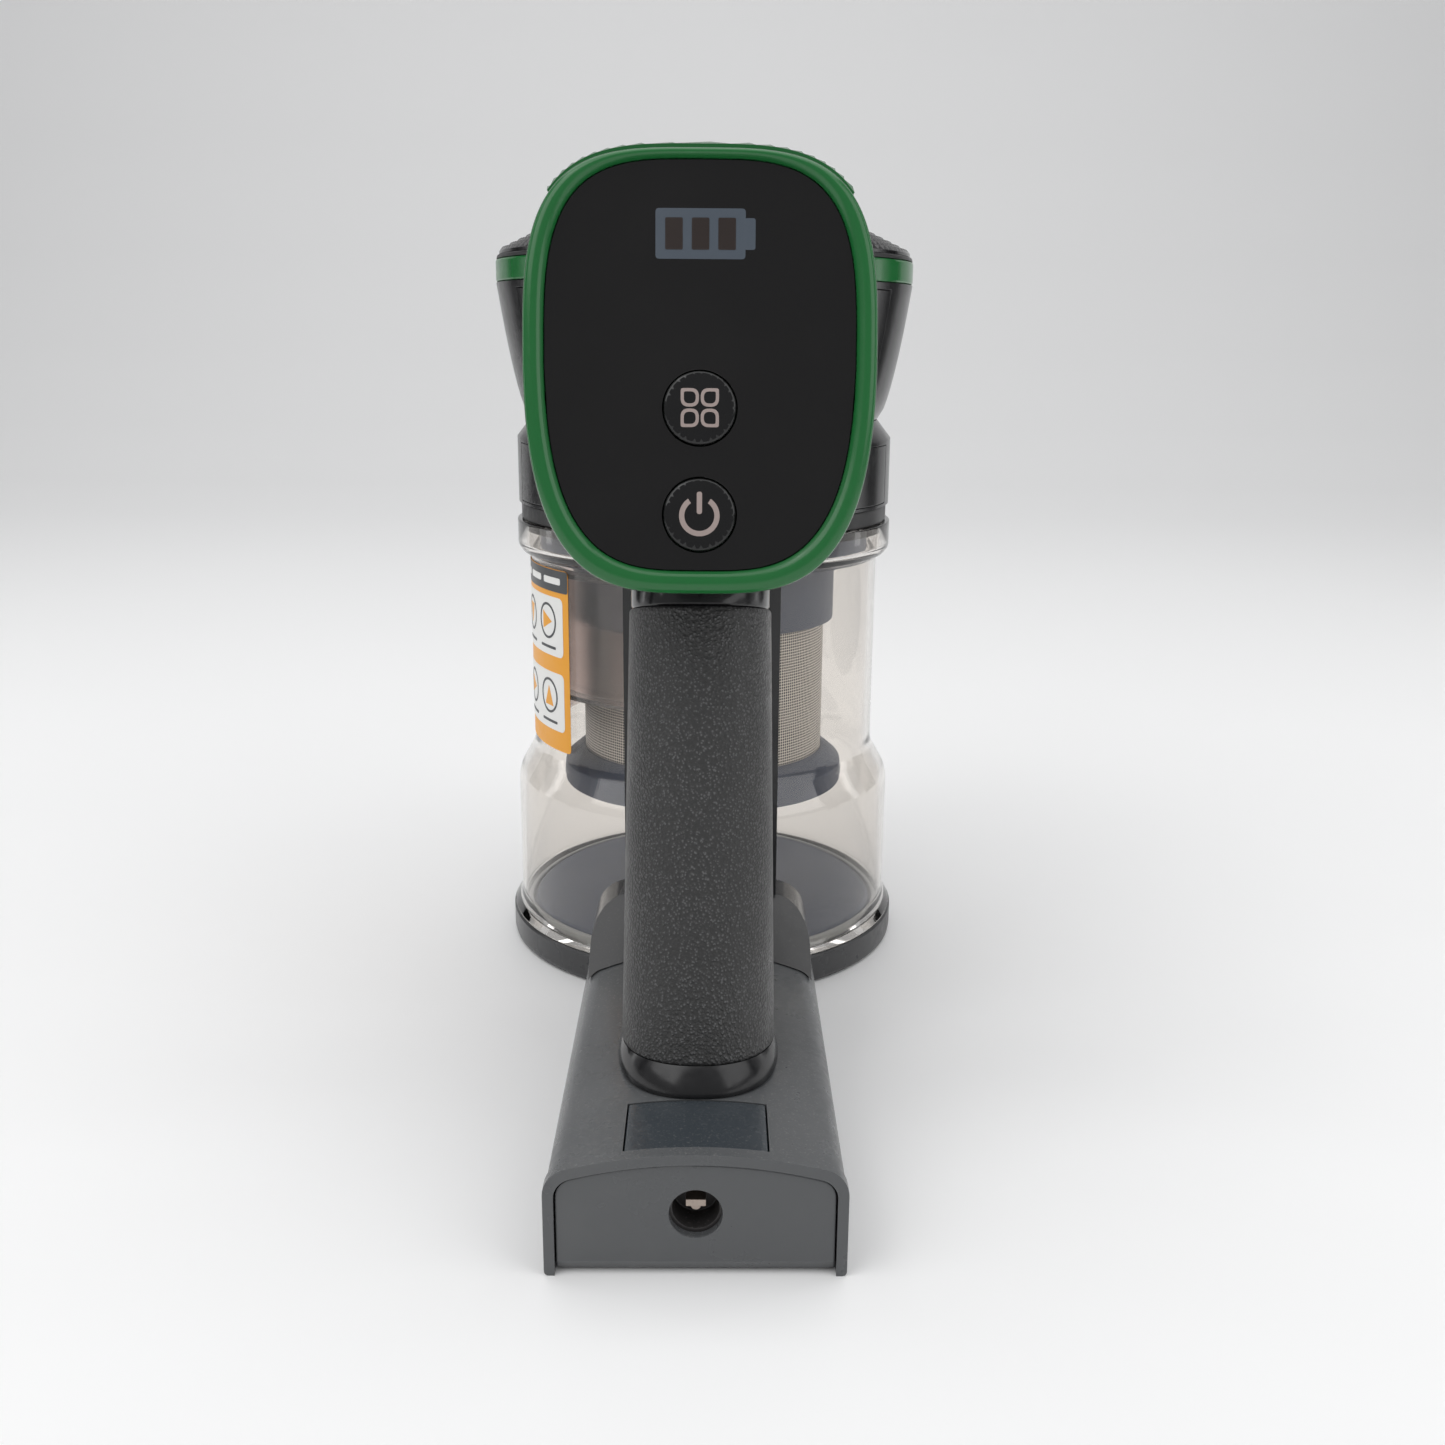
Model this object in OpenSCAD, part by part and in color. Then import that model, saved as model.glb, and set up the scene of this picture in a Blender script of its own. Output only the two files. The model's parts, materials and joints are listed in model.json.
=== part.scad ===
// Handheld cyclone vacuum. A clear dust cup stands on its hinged lid, with the motor head above it.
// Behind them a leaning grip joins the display head to a slide-on battery pack.
// Millimetres, +Z up, +Y towards the inlet. The origin is on the cup's axis in the resting plane.

/* [Dust cup] */
// Outer radius of the lid's flange
lid_r = 68.7; // [68:0.1:69.5]
// Height of the lid's flange
lid_h = 10; // [9.5:0.1:10.5]
// Outer radius of the cup's wide lower wall
cup_lower_r = 65.6; // [65:0.1:66]
// Outer radius of the cup's upper wall
cup_upper_r = 59.5; // [59:0.1:60]
// Wall thickness of the cup
cup_wall = 2.2; // [2:0.1:2.4]
// Outer radius of the collar at the cup's mouth
collar_r = 63.7; // [63.2:0.1:64]
// Height of the cup's mouth above the resting plane
cup_top_z = 148.6; // [148:0.1:149]

/* [Cyclone filter] */
// Radius of the steel mesh screen
mesh_r = 42; // [41:0.5:43]
// Outer radius of the skirt under the mesh
skirt_r = 49; // [48:0.5:50]
// Height of the skirt's lower edge
skirt_z = 56; // [55:0.5:58]

/* [Motor head] */
// Outer radius of the filter housing above the cup
housing_r = 63; // [62.5:0.1:63.5]
// Radius of the head at its waist
waist_r = 58.3; // [58:0.1:59]
// Outer radius of the accent band
band_r = 68.4; // [68:0.1:69]
// Height of the band's lower edge
band_z = 224.7; // [224:0.1:225]
// Height of the accent band
band_h = 7.1; // [6.5:0.1:7.5]

/* [Display head] */
// Half width of the display head
face_hw = 39.8; // [39:0.1:40.4]
// Half height of the display head, along its face
face_hh = 49.4; // [48.5:0.1:50]
// Width of the rim beside the display
rim_w = 4.7; // [4.4:0.1:5]
// Lean of the display's face from upright, in degrees
face_tilt = 8; // [7:0.5:9]
// Radius of the two push buttons
button_r = 8.2; // [7.8:0.1:8.5]

/* [Handle] */
// Forward lean of the grip, in degrees
grip_lean = 13.5; // [13:0.1:14]
// Half width of the grip at its foot
grip_hw = 19.6; // [19:0.1:20]
// Half depth of the grip at its foot
grip_hd = 23.4; // [23:0.1:23.6]
// Width of the spine behind the cup
spine_w = 46; // [44:0.5:48]

/* [Battery pack] */
// Width of the pack
pack_w = 69; // [68.6:0.1:69.6]
// Height of the pack's end rim at its crown
pack_h = 31.2; // [31:0.1:31.4]
// Length of the pack
pack_l = 140.4; // [140:0.1:141]
// Radius of the charging socket's recess
jack_r = 6.1; // [5.8:0.1:6.4]

/* [Inlet] */
// Bore radius of the inlet socket
inlet_r = 17.5; // [17:0.1:18]
// Height of the inlet's axis
inlet_z = 97; // [96:0.5:98]
// Forward reach of the inlet's mouth from the cup's axis
inlet_y = 98; // [96:1:102]

/* [Hidden] */
$fn = 96;

gap = 0.2;             // clearance between fixed neighbours
run = 0.05;            // radial running clearance of a pin in its bore
head_wall = 2.4;       // wall of the moulded housings

// ---------- shared shapes ----------

// Ring about Z between two radii and two heights
module ring(outer, inner, z0, z1) {
    translate([0, 0, z0]) difference() {
        cylinder(h = z1 - z0, r = outer);
        translate([0, 0, -1]) cylinder(h = z1 - z0 + 2, r = inner);
    }
}

// Solid of revolution about Z from [radius, height] points
module revolve(points) rotate_extrude() polygon(points);

// Part of a revolution, centred on the -Y direction
module revolve_rear(points, half_angle) {
    rotate([0, 0, 270 - half_angle]) rotate_extrude(angle = 2 * half_angle) polygon(points);
}

// Upright cylinder on the Z axis, and one along Y, between two places
module cylinder_z(r, z0, z1) translate([0, 0, z0]) cylinder(h = z1 - z0, r = r);
module cylinder_y(x, z, r, y0, y1) translate([x, y0, z]) rotate([-90, 0, 0]) cylinder(h = y1 - y0, r = r);

// Box given by its lowest and highest corners
module box(low, high) translate(low) cube(high - low);

// Points on an arc
function arc(centre, r, from, to, steps) =
    [for (i = [0:steps]) let (a = from + (to - from) * i / steps) centre + r * [cos(a), sin(a)]];

function signed_power(v, e) = sign(v) * pow(abs(v), e);
function flatten(lists) = [for (list = lists) each list];
function split(a, b, c, d) = [[a, b, c], [a, c, d]];

// Thin-walled skin between matching outer and inner rings, closed round or open like a half shell
module skin(outer, inner, closed = true) {
    m = len(outer);
    n = len(outer[0]);
    last = closed ? n - 1 : n - 2;
    o = function(j, i) j * n + i % n;
    q = function(j, i) (m + j) * n + i % n;
    polyhedron(points = concat(flatten(outer), flatten(inner)), faces = concat(
        [for (j = [0:m - 2], i = [0:last]) each split(o(j, i), o(j + 1, i), o(j + 1, i + 1), o(j, i + 1))],
        [for (j = [0:m - 2], i = [0:last]) each split(q(j, i), q(j, i + 1), q(j + 1, i + 1), q(j + 1, i))],
        [for (i = [0:last]) each split(o(0, i), o(0, i + 1), q(0, i + 1), q(0, i))],
        [for (i = [0:last]) each split(o(m - 1, i), q(m - 1, i), q(m - 1, i + 1), o(m - 1, i + 1))],
        closed ? [] : [for (j = [0:m - 2]) each split(q(j, 0), q(j + 1, 0), o(j + 1, 0), o(j, 0))],
        closed ? [] : [for (j = [0:m - 2])
            each split(o(j, n - 1), o(j + 1, n - 1), q(j + 1, n - 1), q(j, n - 1))]));
}

// Tube swept along points, with eight sides
module sweep(path, r) {
    sides = 8;
    n = len(path);
    ring_at = function(k)
        let (d = path[min(k + 1, n - 1)] - path[max(k - 1, 0)], t = d / norm(d),
             u = cross(t, [1, 0.1, 0]) / norm(cross(t, [1, 0.1, 0])), v = cross(t, u))
        [for (i = [0:sides - 1]) path[k] + r * (cos(i * 360 / sides) * u + sin(i * 360 / sides) * v)];
    polyhedron(points = [for (k = [0:n - 1]) each ring_at(k)], faces = concat(
        [for (k = [0:n - 2], i = [0:sides - 1])
            each split(k * sides + i, (k + 1) * sides + i,
                (k + 1) * sides + (i + 1) % sides, k * sides + (i + 1) % sides)],
        [[for (i = [0:sides - 1]) i]],
        [[for (i = [sides - 1:-1:0]) (n - 1) * sides + i]]));
}

// ---------- motor head and filter housing ----------

ring_z = cup_top_z + gap;              // underside of the housing ring
housing_z = 154.4;                     // underside of the filter housing
shoulder_z = 175.8;                    // where the housing's wall starts to slope in
waist_z = 182;
cover_t = 1;                           // thickness of the rear covers
cover_half = 71.5;                     // half angle of the housing's rear cover
head_cover_half = 58;                  // half angle of the motor housing's rear cover
cap_z = band_z + band_h + 1.6;         // underside of the top cap

// Outer outline of the flare above the waist, bowed outwards
flare_bow = 0.62;
function flare(inset, from = 0, to = 1, steps = 12) = [for (i = [0:steps])
    let (t = from + (to - from) * i / steps)
    [waist_r + (band_r - waist_r) * pow(t, flare_bow) - inset, waist_z + (band_z - waist_z) * t]];

module filter_housing() color("dimgray") difference() {
    revolve([[housing_r, housing_z], [housing_r, shoulder_z], [waist_r, waist_z - gap],
        [waist_r - head_wall, waist_z - gap], [housing_r - head_wall, shoulder_z - 1],
        [housing_r - head_wall, housing_z + 3], [30, housing_z + 3], [30, housing_z]]);
    revolve_rear([[housing_r - cover_t - gap, housing_z + 1], [housing_r + 1, housing_z + 1],
        [housing_r + 1, shoulder_z - 1.4], [housing_r - cover_t - gap, shoulder_z - 1.4]], cover_half + 0.2);
    translate([0, housing_r - 8, 166]) rotate([-90, 0, 0]) cylinder(h = 12, r = 6.3);
}

module housing_ring() color("dimgray") difference() {
    ring(62.2, 30, ring_z, housing_z - gap);
    ring(50, 31, ring_z - 1, ring_z + 2);
}

module housing_rear_cover() color("gray")
    revolve_rear([[housing_r - cover_t, housing_z + 1.2], [housing_r, housing_z + 1.2],
        [housing_r, shoulder_z - 1.6], [housing_r - cover_t, shoulder_z - 1.6]], cover_half);

module motor_housing() color("dimgray") difference() {
    revolve(concat(flare(0), [for (i = [12:-1:0]) flare(head_wall)[i]]));
    revolve_rear(concat(flare(cover_t + gap, 0.05, 0.95),
        [for (share = [0.95, 0.05]) [band_r + 2, waist_z + share * (band_z - waist_z)]]),
        head_cover_half + 0.2);
}

module motor_rear_cover() color("gray") {
    outside = flare(0, 0.055, 0.945);
    inside = flare(cover_t, 0.055, 0.945);
    revolve_rear(concat(outside, [for (i = [12:-1:0]) inside[i]]), head_cover_half);
}

module accent_band() color("green") ring(band_r, band_r - head_wall, band_z + 0.1, band_z + band_h);

module cap_seat() color("dimgray")
    revolve([[band_r - 0.2, band_z + band_h + 0.1], [band_r - 0.6, cap_z - 0.2],
        [44, cap_z - 0.2], [44, band_z + band_h + 0.1]]);

module top_cap() color("black") {
    ribs = 48;
    difference() {
        revolve([[band_r - 1.2, cap_z], [54, 240.6], [34, 248.6], [0, 252], [0, 249], [33, 245.6],
            [52, 238], [62, cap_z]]);
        for (i = [0:ribs - 1])
            rotate([0, 0, i * 360 / ribs]) translate([60.4, 0, 238.5]) rotate([0, 28, 0])
                rotate([45, 0, 0]) cube([9, 2.2, 2.2], center = true);
    }
}

module exhaust_filter() color("whitesmoke") ring(43.4, 24, 224, 232);

module motor_can() color("silver") difference() {
    union() {
        ring(33, 31.6, 190, 220);
        ring(33, 10, 218.4, 220);
        ring(33, 9, 190, 191.5);
    }
    for (a = [0:45:315])
        rotate([0, 0, a]) translate([24, 0, 217]) cylinder(h = 5, r = 3);
}

module motor_mount() color("black") {
    ring(52, 33.1, 192, 196);
    ring(36, 33.1, 196, 212);
}

module motor_board() color("darkgreen") difference() {
    ring(26, 7, 221, 222.6);
    for (a = [0:90:270])
        rotate([0, 0, a]) translate([20, 0, 220]) cylinder(h = 4, r = 1.6);
}

module diffuser() color("gray") {
    ring(31.4, 29.4, 206, 214);
    ring(12, 9.05, 205.4, 216);
    for (a = [0:30:330])
        rotate([0, 0, a]) box([11.5, -0.6, 206], [30, 0.6, 213]);
}

module shaft_bearings() color("silver") {
    ring(9, 3.05, 205.2, 208.4);
    ring(9.9, 3.05, 217, 219.8);
}

module rotor() color("silver") {
    cylinder_z(3, 192, 220.6);
    ring(7, 2.9, 209, 216.4);
}

module impeller() color("gainsboro") {
    blades = 9;
    ring(29, 3.05, 203, 204.6);
    ring(8, 3.05, 194, 203.2);
    for (i = [0:blades - 1])
        rotate([0, 0, i * 360 / blades]) translate([17, 0, 0]) rotate([0, 0, 25])
            box([-11.5, -0.6, 195.4], [11, 0.6, 203.2]);
}

// ---------- display head ----------

face_y = -167.6;                       // centre of the display's face
face_z = 200.6;
face_power = 3.5;                      // squareness of the face's outline
face_points = 72;

// Places its children in the face's own axes: x across, y up the face, z out towards the user
module on_face() translate([0, face_y, face_z]) rotate([90 - face_tilt, 0, 0]) children();

// Half width, half height and rise of the display lens
lens = [face_hw - rim_w, face_hh - 4.1, 1];

// Outline point of the display head at an angle, narrowing towards the bottom
function outline_at(a, hw, hh) =
    let (u = signed_power(cos(a), 2 / face_power), v = signed_power(sin(a), 2 / face_power))
    [hw * u * (1 - 0.12 * pow(max(0, -v), 1.5)), hh * v];
function outline(hw, hh) = [for (i = [0:face_points - 1]) outline_at(i * 360 / face_points, hw, hh)];
function lens_outline(inset) =
    [for (q = outline(lens[0] - inset, lens[1] - inset)) q + [0, lens[2]]];

// The pod's sections from behind the face to the motor head: [depth, half width, half height, rise]
pod_sections = [[-90, 27.2, 30.2, 7.2], [-78, 27.5, 32, 6], [-60, 29, 37, 3.5], [-44, 32.5, 42, 1.2],
    [-28, 36.9, 46.6, 0.4], [-14, 39, 48.5, 0], [-2.2, 39, 48.5, 0]];

// A point of the face's axes in the object's axes
function from_face(p) = [p[0], face_y + p[1] * sin(face_tilt) - p[2] * cos(face_tilt),
    face_z + p[1] * cos(face_tilt) + p[2] * sin(face_tilt)];

// Radius of the motor head and filter housing at a height
function head_at(z) = lookup(z, concat([[shoulder_z, housing_r]], [for (p = flare(0)) [p[1], p[0]]]));

// Section outline between two angles; one at the head follows the head's round wall instead
function pod_ring(s, inset, a0, a1, steps = 30) = [for (i = [0:steps])
    let (p = outline_at(a0 + (a1 - a0) * i / steps, s[1] - inset, s[2] - inset))
    from_face([p[0], p[1] + s[3], s[0]])];
function at_head(points) = [for (p = points)
    [p[0], -sqrt(pow(head_at(p[2]) + 0.5, 2) - p[0] * p[0]), p[2]]];
function pod_rings(inset, a0, a1) = concat(
    [at_head(pod_ring([-112, 27, 28, 9.5], inset, a0, a1))],
    [for (s = pod_sections) pod_ring(s, inset, a0, a1)]);

wire_hole = [-84, 8];                  // place along Y and radius of the wires' way into the pod
module pod_half(a0, a1) difference() {
    skin(pod_rings(0, a0, a1), pod_rings(2.2, a0, a1), closed = false);
    translate([0, wire_hole[0], 150]) cylinder(h = 20, r = wire_hole[1]);
}
module pod_left() color("#202226") pod_half(90.2, 269.8);
module pod_right() color("#202226") pod_half(-89.8, 89.8);

// Height of the pod's underside
function under_pod(x, y) =
    let (w = (face_y - 44 * sin(face_tilt) - y) / cos(face_tilt),
         hw = lookup(w, [for (s = pod_sections) [s[0], s[1]]]) * 0.885,
         hh = lookup(w, [for (s = pod_sections) [s[0], s[2]]]),
         rise = lookup(w, [for (s = pod_sections) [s[0], s[3]]]),
         v = rise - hh * pow(1 - pow(min(1, abs(x) / hw), face_power), 1 / face_power))
    face_z + v * cos(face_tilt) + w * sin(face_tilt);

// Cover over the pod's crown, from the rim forward to the motor head
cover_lifts = [3.4, 3.2, 2.4, 2, 1.6, 1.4, 1.2];
cover_from = 42;                       // angles round the section between which the cover lies
cover_to = 138;
function cover_rings(lifted) = concat(
    [at_head(pod_ring([-112, 27.4, 28.4, 9.5], lifted ? -2 : 0, cover_from, cover_to, 24))],
    [for (k = [0:len(pod_sections) - 1])
        pod_ring(pod_sections[k] + [0, 0.4, 0.4, 0], lifted ? -cover_lifts[k] : 0,
            cover_from, cover_to, 24)]);
module top_cover() color("green") skin(cover_rings(true), cover_rings(false), closed = false);

// Rounded rim between the head's outline and the lens
rim_rise = 2.2;
rim_back = 2;
module display_bezel() color("green") on_face() {
    steps = 12;
    outer = outline(face_hw, face_hh);
    inner = lens_outline(0);
    ring_of = function(share, out)
        [for (i = [0:face_points - 1]) let (q = outer[i] + (inner[i] - outer[i]) * share) [q[0], q[1], out]];
    rounded = function(i) ring_of((1 - cos(180 * i / steps)) / 2, rim_rise * sin(180 * i / steps));
    skin(concat([ring_of(0, -rim_back)], [for (i = [0:steps / 2]) rounded(i)]),
        concat([ring_of(1, -rim_back)], [for (i = [0:steps / 2]) rounded(steps - i)]));
}

lens_t = 2;                            // thickness of the display lens
power_v = -31.6;                       // height of the power button on the face
mode_v = -7.8;                         // height of the mode button on the face

module display_lens() color("#101114") on_face() difference() {
    translate([0, 0, -lens_t]) linear_extrude(lens_t)
        polygon(lens_outline(0.1));
    for (v = [power_v, mode_v])
        translate([0, v, -lens_t - 1]) cylinder(h = lens_t + 2, r = button_r + 0.3);
}

// Domed push button with a stem behind it
module push_button(v) on_face() translate([0, v, 0]) {
    rounded = arc([button_r - 1, 0.2], 1, 0, 70, 5);
    revolve(concat([[0, -3.4], [button_r - 1.6, -3.4], [button_r, -2.9]], rounded, [[4, 1.36], [0, 1.5]]));
    translate([0, 0, -5.2]) cylinder(h = 2, r = 2.4);
}
module power_button() color("#15161a") push_button(power_v);
module mode_button() color("#15161a") push_button(mode_v);

module display_board() color("darkgreen") on_face() difference() {
    translate([0, 0, -10]) linear_extrude(1.6) polygon(outline(face_hw - 8, face_hh - 8));
    for (v = [-30, 30], u = [-18, 18])
        translate([u, v, -12]) cylinder(h = 6, r = 1.6);
}
module tact_switches() color("silver") on_face()
    for (v = [power_v, mode_v])
        translate([0, v, -8.3]) {
            translate([-3, -3, 0]) cube([6, 6, 1.4]);
            translate([0, 0, 1.3]) cylinder(h = 0.6, r = 1.6);
        }

// ---------- grip ----------

grip_foot = [0, -161.6, 31];
grip_from_s = 3.6;                     // where the textured sleeve starts up the grip
grip_top_s = 112.6;                    // where it ends
neck_top_s = 125;
sleeve_t = 1.6;
core_t = 2.2;
grip_points = 48;

// A point of the grip's oval at length s up the grip and angle a; the foot's planes lean less
function grip_at(s, a, inset) =
    let (lean = 7 + (grip_lean - 7) * min(1, max(0, s - grip_from_s) / 18), f = s / grip_top_s,
         hw = grip_hw - 1.45 * f - inset, hd = grip_hd - 1.9 * f - inset,
         u = hw * signed_power(cos(a), 0.92), w = hd * signed_power(sin(a), 0.92))
    grip_foot + s * [0, sin(grip_lean), cos(grip_lean)] + [u, w * cos(lean), -w * sin(lean)];
function grip_ring(s, inset, a0 = 0, a1 = 360, steps = grip_points) =
    [for (i = [0:(a1 - a0 == 360 ? steps - 1 : steps)]) grip_at(s, a0 + (a1 - a0) * i / steps, inset)];
// The same ring, ending against the pod's underside
function grip_end(inset, a0 = 0, a1 = 360, steps = grip_points) =
    [for (p = grip_ring(neck_top_s, inset, a0, a1, steps)) [p[0], p[1], under_pod(p[0], p[1]) - 0.7]];
sleeve_levels = [grip_from_s, 12, 30, 55, 80, 100, grip_top_s];

module grip_sleeve() color("#3c4044")
    skin([for (s = sleeve_levels) grip_ring(s, 0)], [for (s = sleeve_levels) grip_ring(s, sleeve_t)]);

screw_at = [[-152.5, 60], [-139.5, 112]];
module grip_core(a0, a1)
    skin(concat([for (s = sleeve_levels) grip_ring(s, sleeve_t + 0.05, a0, a1, 24)],
            [grip_end(sleeve_t + 0.05, a0, a1, 24)]),
        concat([for (s = sleeve_levels) grip_ring(s, sleeve_t + core_t, a0, a1, 24)],
            [grip_end(sleeve_t + core_t, a0, a1, 24)]), closed = false);
module grip_left() color("#26282b") difference() {
    union() {
        grip_core(90.3, 269.7);
        for (p = screw_at)
            translate([-16, p[0], p[1]]) rotate([0, 90, 0]) cylinder(h = 15.8, r = 4.4);
    }
    for (p = screw_at)
        translate([-8.4, p[0], p[1]]) rotate([0, 90, 0]) cylinder(h = 10, r = 1.5);
}
module grip_right() color("#26282b") difference() {
    union() {
        grip_core(-89.7, 89.7);
        for (p = screw_at)
            translate([0.2, p[0], p[1]]) rotate([0, 90, 0]) cylinder(h = 15.8, r = 4.4);
    }
    for (p = screw_at)
        translate([-1, p[0], p[1]]) rotate([0, 90, 0]) {
            cylinder(h = 14, r = 1.5);
            translate([0, 0, 11.9]) cylinder(h = 10, r = 3.1);
        }
}

module grip_neck() color("#26282b")
    skin([for (p = [[0.1, 0.9], [0.8, 0.4], [5, 0.3]]) grip_ring(grip_top_s + p[0], p[1]), grip_end(0.2)],
        [for (s = [0.1, 0.8, 5]) grip_ring(grip_top_s + s, sleeve_t), grip_end(sleeve_t)]);

// Rounded foot ring between the sleeve and the battery pack, following the pack's crown underneath
function crown_ring(hw, hd, lift) = [for (i = [0:grip_points - 1])
    let (a = i * 360 / grip_points, x = hw * signed_power(cos(a), 0.92))
    [x, grip_foot[1] + hd * signed_power(sin(a), 0.92), over_pack(x) + lift]];
function halfway(a, b) = [for (i = [0:len(a) - 1]) (a[i] + b[i]) / 2];
module grip_collar() color("#1c1d20")
    skin([crown_ring(20.1, 25.6, 0), crown_ring(20.7, 26.2, 0.5),
            halfway(crown_ring(21.2, 26.8, 0.5), grip_ring(3, -1.1)),
            grip_ring(3, -0.6), grip_ring(3.5, 0.1)],
        [crown_ring(16, 20, 0), crown_ring(15.9, 19.9, 0.3),
            halfway(crown_ring(15.8, 19.8, 0.5), grip_ring(3, 3.9)),
            grip_ring(3.2, 3.9), grip_ring(3.5, 3.9)]);

module handle_screws() color("silver")
    for (p = screw_at)
        translate([11, p[0], p[1]]) rotate([0, 90, 0]) {
            cylinder(h = 2.6, r = 2.9);
            translate([0, 0, -18]) cylinder(h = 18.5, r = 1.4);
        }

// ---------- spine and battery dock ----------

spine_front = -71;
spine_rear = -86;
spine_top = 163.8;
dock_w = 66;
dock_top = 42.6;
dock_round = 11;                       // radius of the dock's long upper edges
body_h = pack_h - 1;                   // height of the pack in front of its end rim
pack_top = body_h + 0.3;               // lowest level of what stands over the pack's crown

function over_pack(x) = pack_top - crown * pow(x / crown_edge(pack_w, shoulder_r), 2);

// Side outline of the spine, with a foot towards the filter housing at its top
function spine_side(i) = [[spine_front - i, dock_top + 0.2 + i], [spine_front - i, 149 - 0.4 * i],
    [-63.6 - i, 155.4 - 0.4 * i], [-63.6 - i, spine_top - i], [spine_rear + i, spine_top - i],
    [spine_rear + i, dock_top + 0.2 + i]];
module along_x(w) translate([-w / 2, 0, 0]) rotate([90, 0, 90]) linear_extrude(w) children();

module spine_cover() color("#1c1d20") difference() {
    along_x(spine_w) polygon(spine_side(0));
    along_x(spine_w - 5) polygon(spine_side(2.4));
    translate([0, -78.5, 30]) cylinder(h = 20, r = 5.2);
    translate([0, -78.5, 155]) cylinder(h = 12, r = 5.2);
}

// Block under the spine that the battery pack slides into, with a ramp towards the grip
module dock_form(i) intersection() {
    along_x(dock_w - 2 * i) polygon([[-72 - i, 18], [-72 - i, dock_top - i], [-84.6 + 0.4 * i, dock_top - i],
        [-117.6 + 1.6 * i, 18]]);
    along_y(-120, -71) polygon(concat([[dock_w / 2 - i, 18]],
        arc([dock_w / 2 - dock_round, dock_top - dock_round], dock_round - i, 0, 90, 10),
        arc([-dock_w / 2 + dock_round, dock_top - dock_round], dock_round - i, 90, 180, 10),
        [[-dock_w / 2 + i, 18]]));
}
rail_x = 16;
module battery_dock() color("#4a4e52") {
    difference() {
        dock_form(0);
        along_y(-125, -60) polygon(pack_section(pack_w + 0.6, pack_top, -10, 1));
        intersection() {
            dock_form(2.2);
            box([-40, -125, 33], [40, -60, 60]);
        }
        translate([0, -78.5, 20]) cylinder(h = 40, r = 4.6);
    }
    for (sx = [-1, 1]) translate([sx * rail_x, 0, 0]) {
        box([-1.5, -100, 26.6], [1.5, -73.6, 31.4]);
        box([-3.5, -100, 24.4], [3.5, -73.6, 26.7]);
    }
}

module dock_contacts() color("gold")
    for (k = [-1, 1]) box([k * 8.2 - 1.2, -90, 27.4], [k * 8.2 + 1.2, -79, over_pack(9.4) - 0.1]);

// Wires from the dock up the spine to the display head and the motor
harness_route = [[0, -78.5, 33], [0, -78.5, 42], [1, -78.5, 62], [0, -79, 85], [-1, -78, 108],
    [0, -79, 130], [0, -78.5, 150], [0, -79.5, 160], [0, -84, 168], [0, -98, 176], [0, -120, 180],
    [0, -140, 184], [0, -154, 190]];
module wire_harness() color("firebrick")
    for (dx = [-2, 2]) sweep([for (p = harness_route) p + [dx, 0, 0]], 1.3);

// ---------- battery pack ----------

pack_front = -73;
pack_rear = pack_front - pack_l;
crown = 3.7;                           // drop of the pack's top from its middle to its shoulders
shoulder_r = 7;
shoulder_a = 76;                       // angle at which the crown runs into the shoulder
side_wall = 1.4;
floor_t = 1.4;
rim_over = 0.3;                        // how far the rim stands out beside the shell
rim_side = 2.2;
rim_top = 2.6;
rim_l = 3.4;                           // length of the rim round the end cap

// Half width of the crown, where the shoulder starts
function crown_edge(w, round) = w / 2 - round + round * cos(shoulder_a);

// Section of the pack, [x, z], with a crowned top and round shoulders
function pack_section(w, top, bottom, corner, round = shoulder_r) =
    let (side = top - crown - round * sin(shoulder_a), edge = crown_edge(w, round))
    concat(arc([w / 2 - corner, bottom + corner], corner, -90, 0, 5),
        arc([w / 2 - round, side], round, 0, shoulder_a, 8),
        [for (i = [1:15]) let (x = edge * (1 - i / 8)) [x, top - crown * pow(x / edge, 2)]],
        arc([-w / 2 + round, side], round, 180 - shoulder_a, 180, 8),
        arc([-w / 2 + corner, bottom + corner], corner, 180, 270, 5));
// Extrudes [x, z] outlines along Y between two places
module along_y(from, to) translate([0, to, 0]) rotate([90, 0, 0]) linear_extrude(to - from) children();

release_y = [-209.6, -187.4];          // rear and front ends of the release plate
release_w = 33;
release_t = 2.8;
module release_space(grow) box([-release_w / 2 - grow, release_y[0] - grow, 18],
    [release_w / 2 + grow, release_y[1] + grow, 40]);

module battery_shell() color("#4a4e52") difference() {
    union() {
        along_y(pack_rear + rim_l, pack_front) polygon(pack_section(pack_w, body_h, 0, 1.2));
        along_y(pack_rear, pack_rear + rim_l + 0.1)
            polygon(pack_section(pack_w + 2 * rim_over, pack_h, 0, 1.2));
    }
    along_y(pack_rear + rim_l - 0.1, pack_front - 2.4)
        polygon(pack_section(pack_w - 2 * side_wall, body_h - 1.6, floor_t, 1.2, 5.5));
    along_y(pack_rear - 1, pack_rear + rim_l)
        polygon(pack_section(pack_w - 2 * rim_side, pack_h - rim_top, -8, 1, 5));
    for (sx = [-1, 1]) translate([sx * rail_x, 0, 0]) {
        box([-1.9, -100.4, 26.6], [1.9, -70, 40]);
        box([-3.9, -100.4, 24], [3.9, -70, 27.1]);
    }
    release_space(0.3);
    box([-11, -92, 24], [11, -70, 40]);
}

module battery_release() color("#1a2228") intersection() {
    along_y(pack_rear, pack_front) difference() {
        polygon(pack_section(pack_w, body_h, 0, 1.2));
        polygon(pack_section(pack_w, body_h - release_t, -10, 1.2));
    }
    release_space(0);
}

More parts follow.
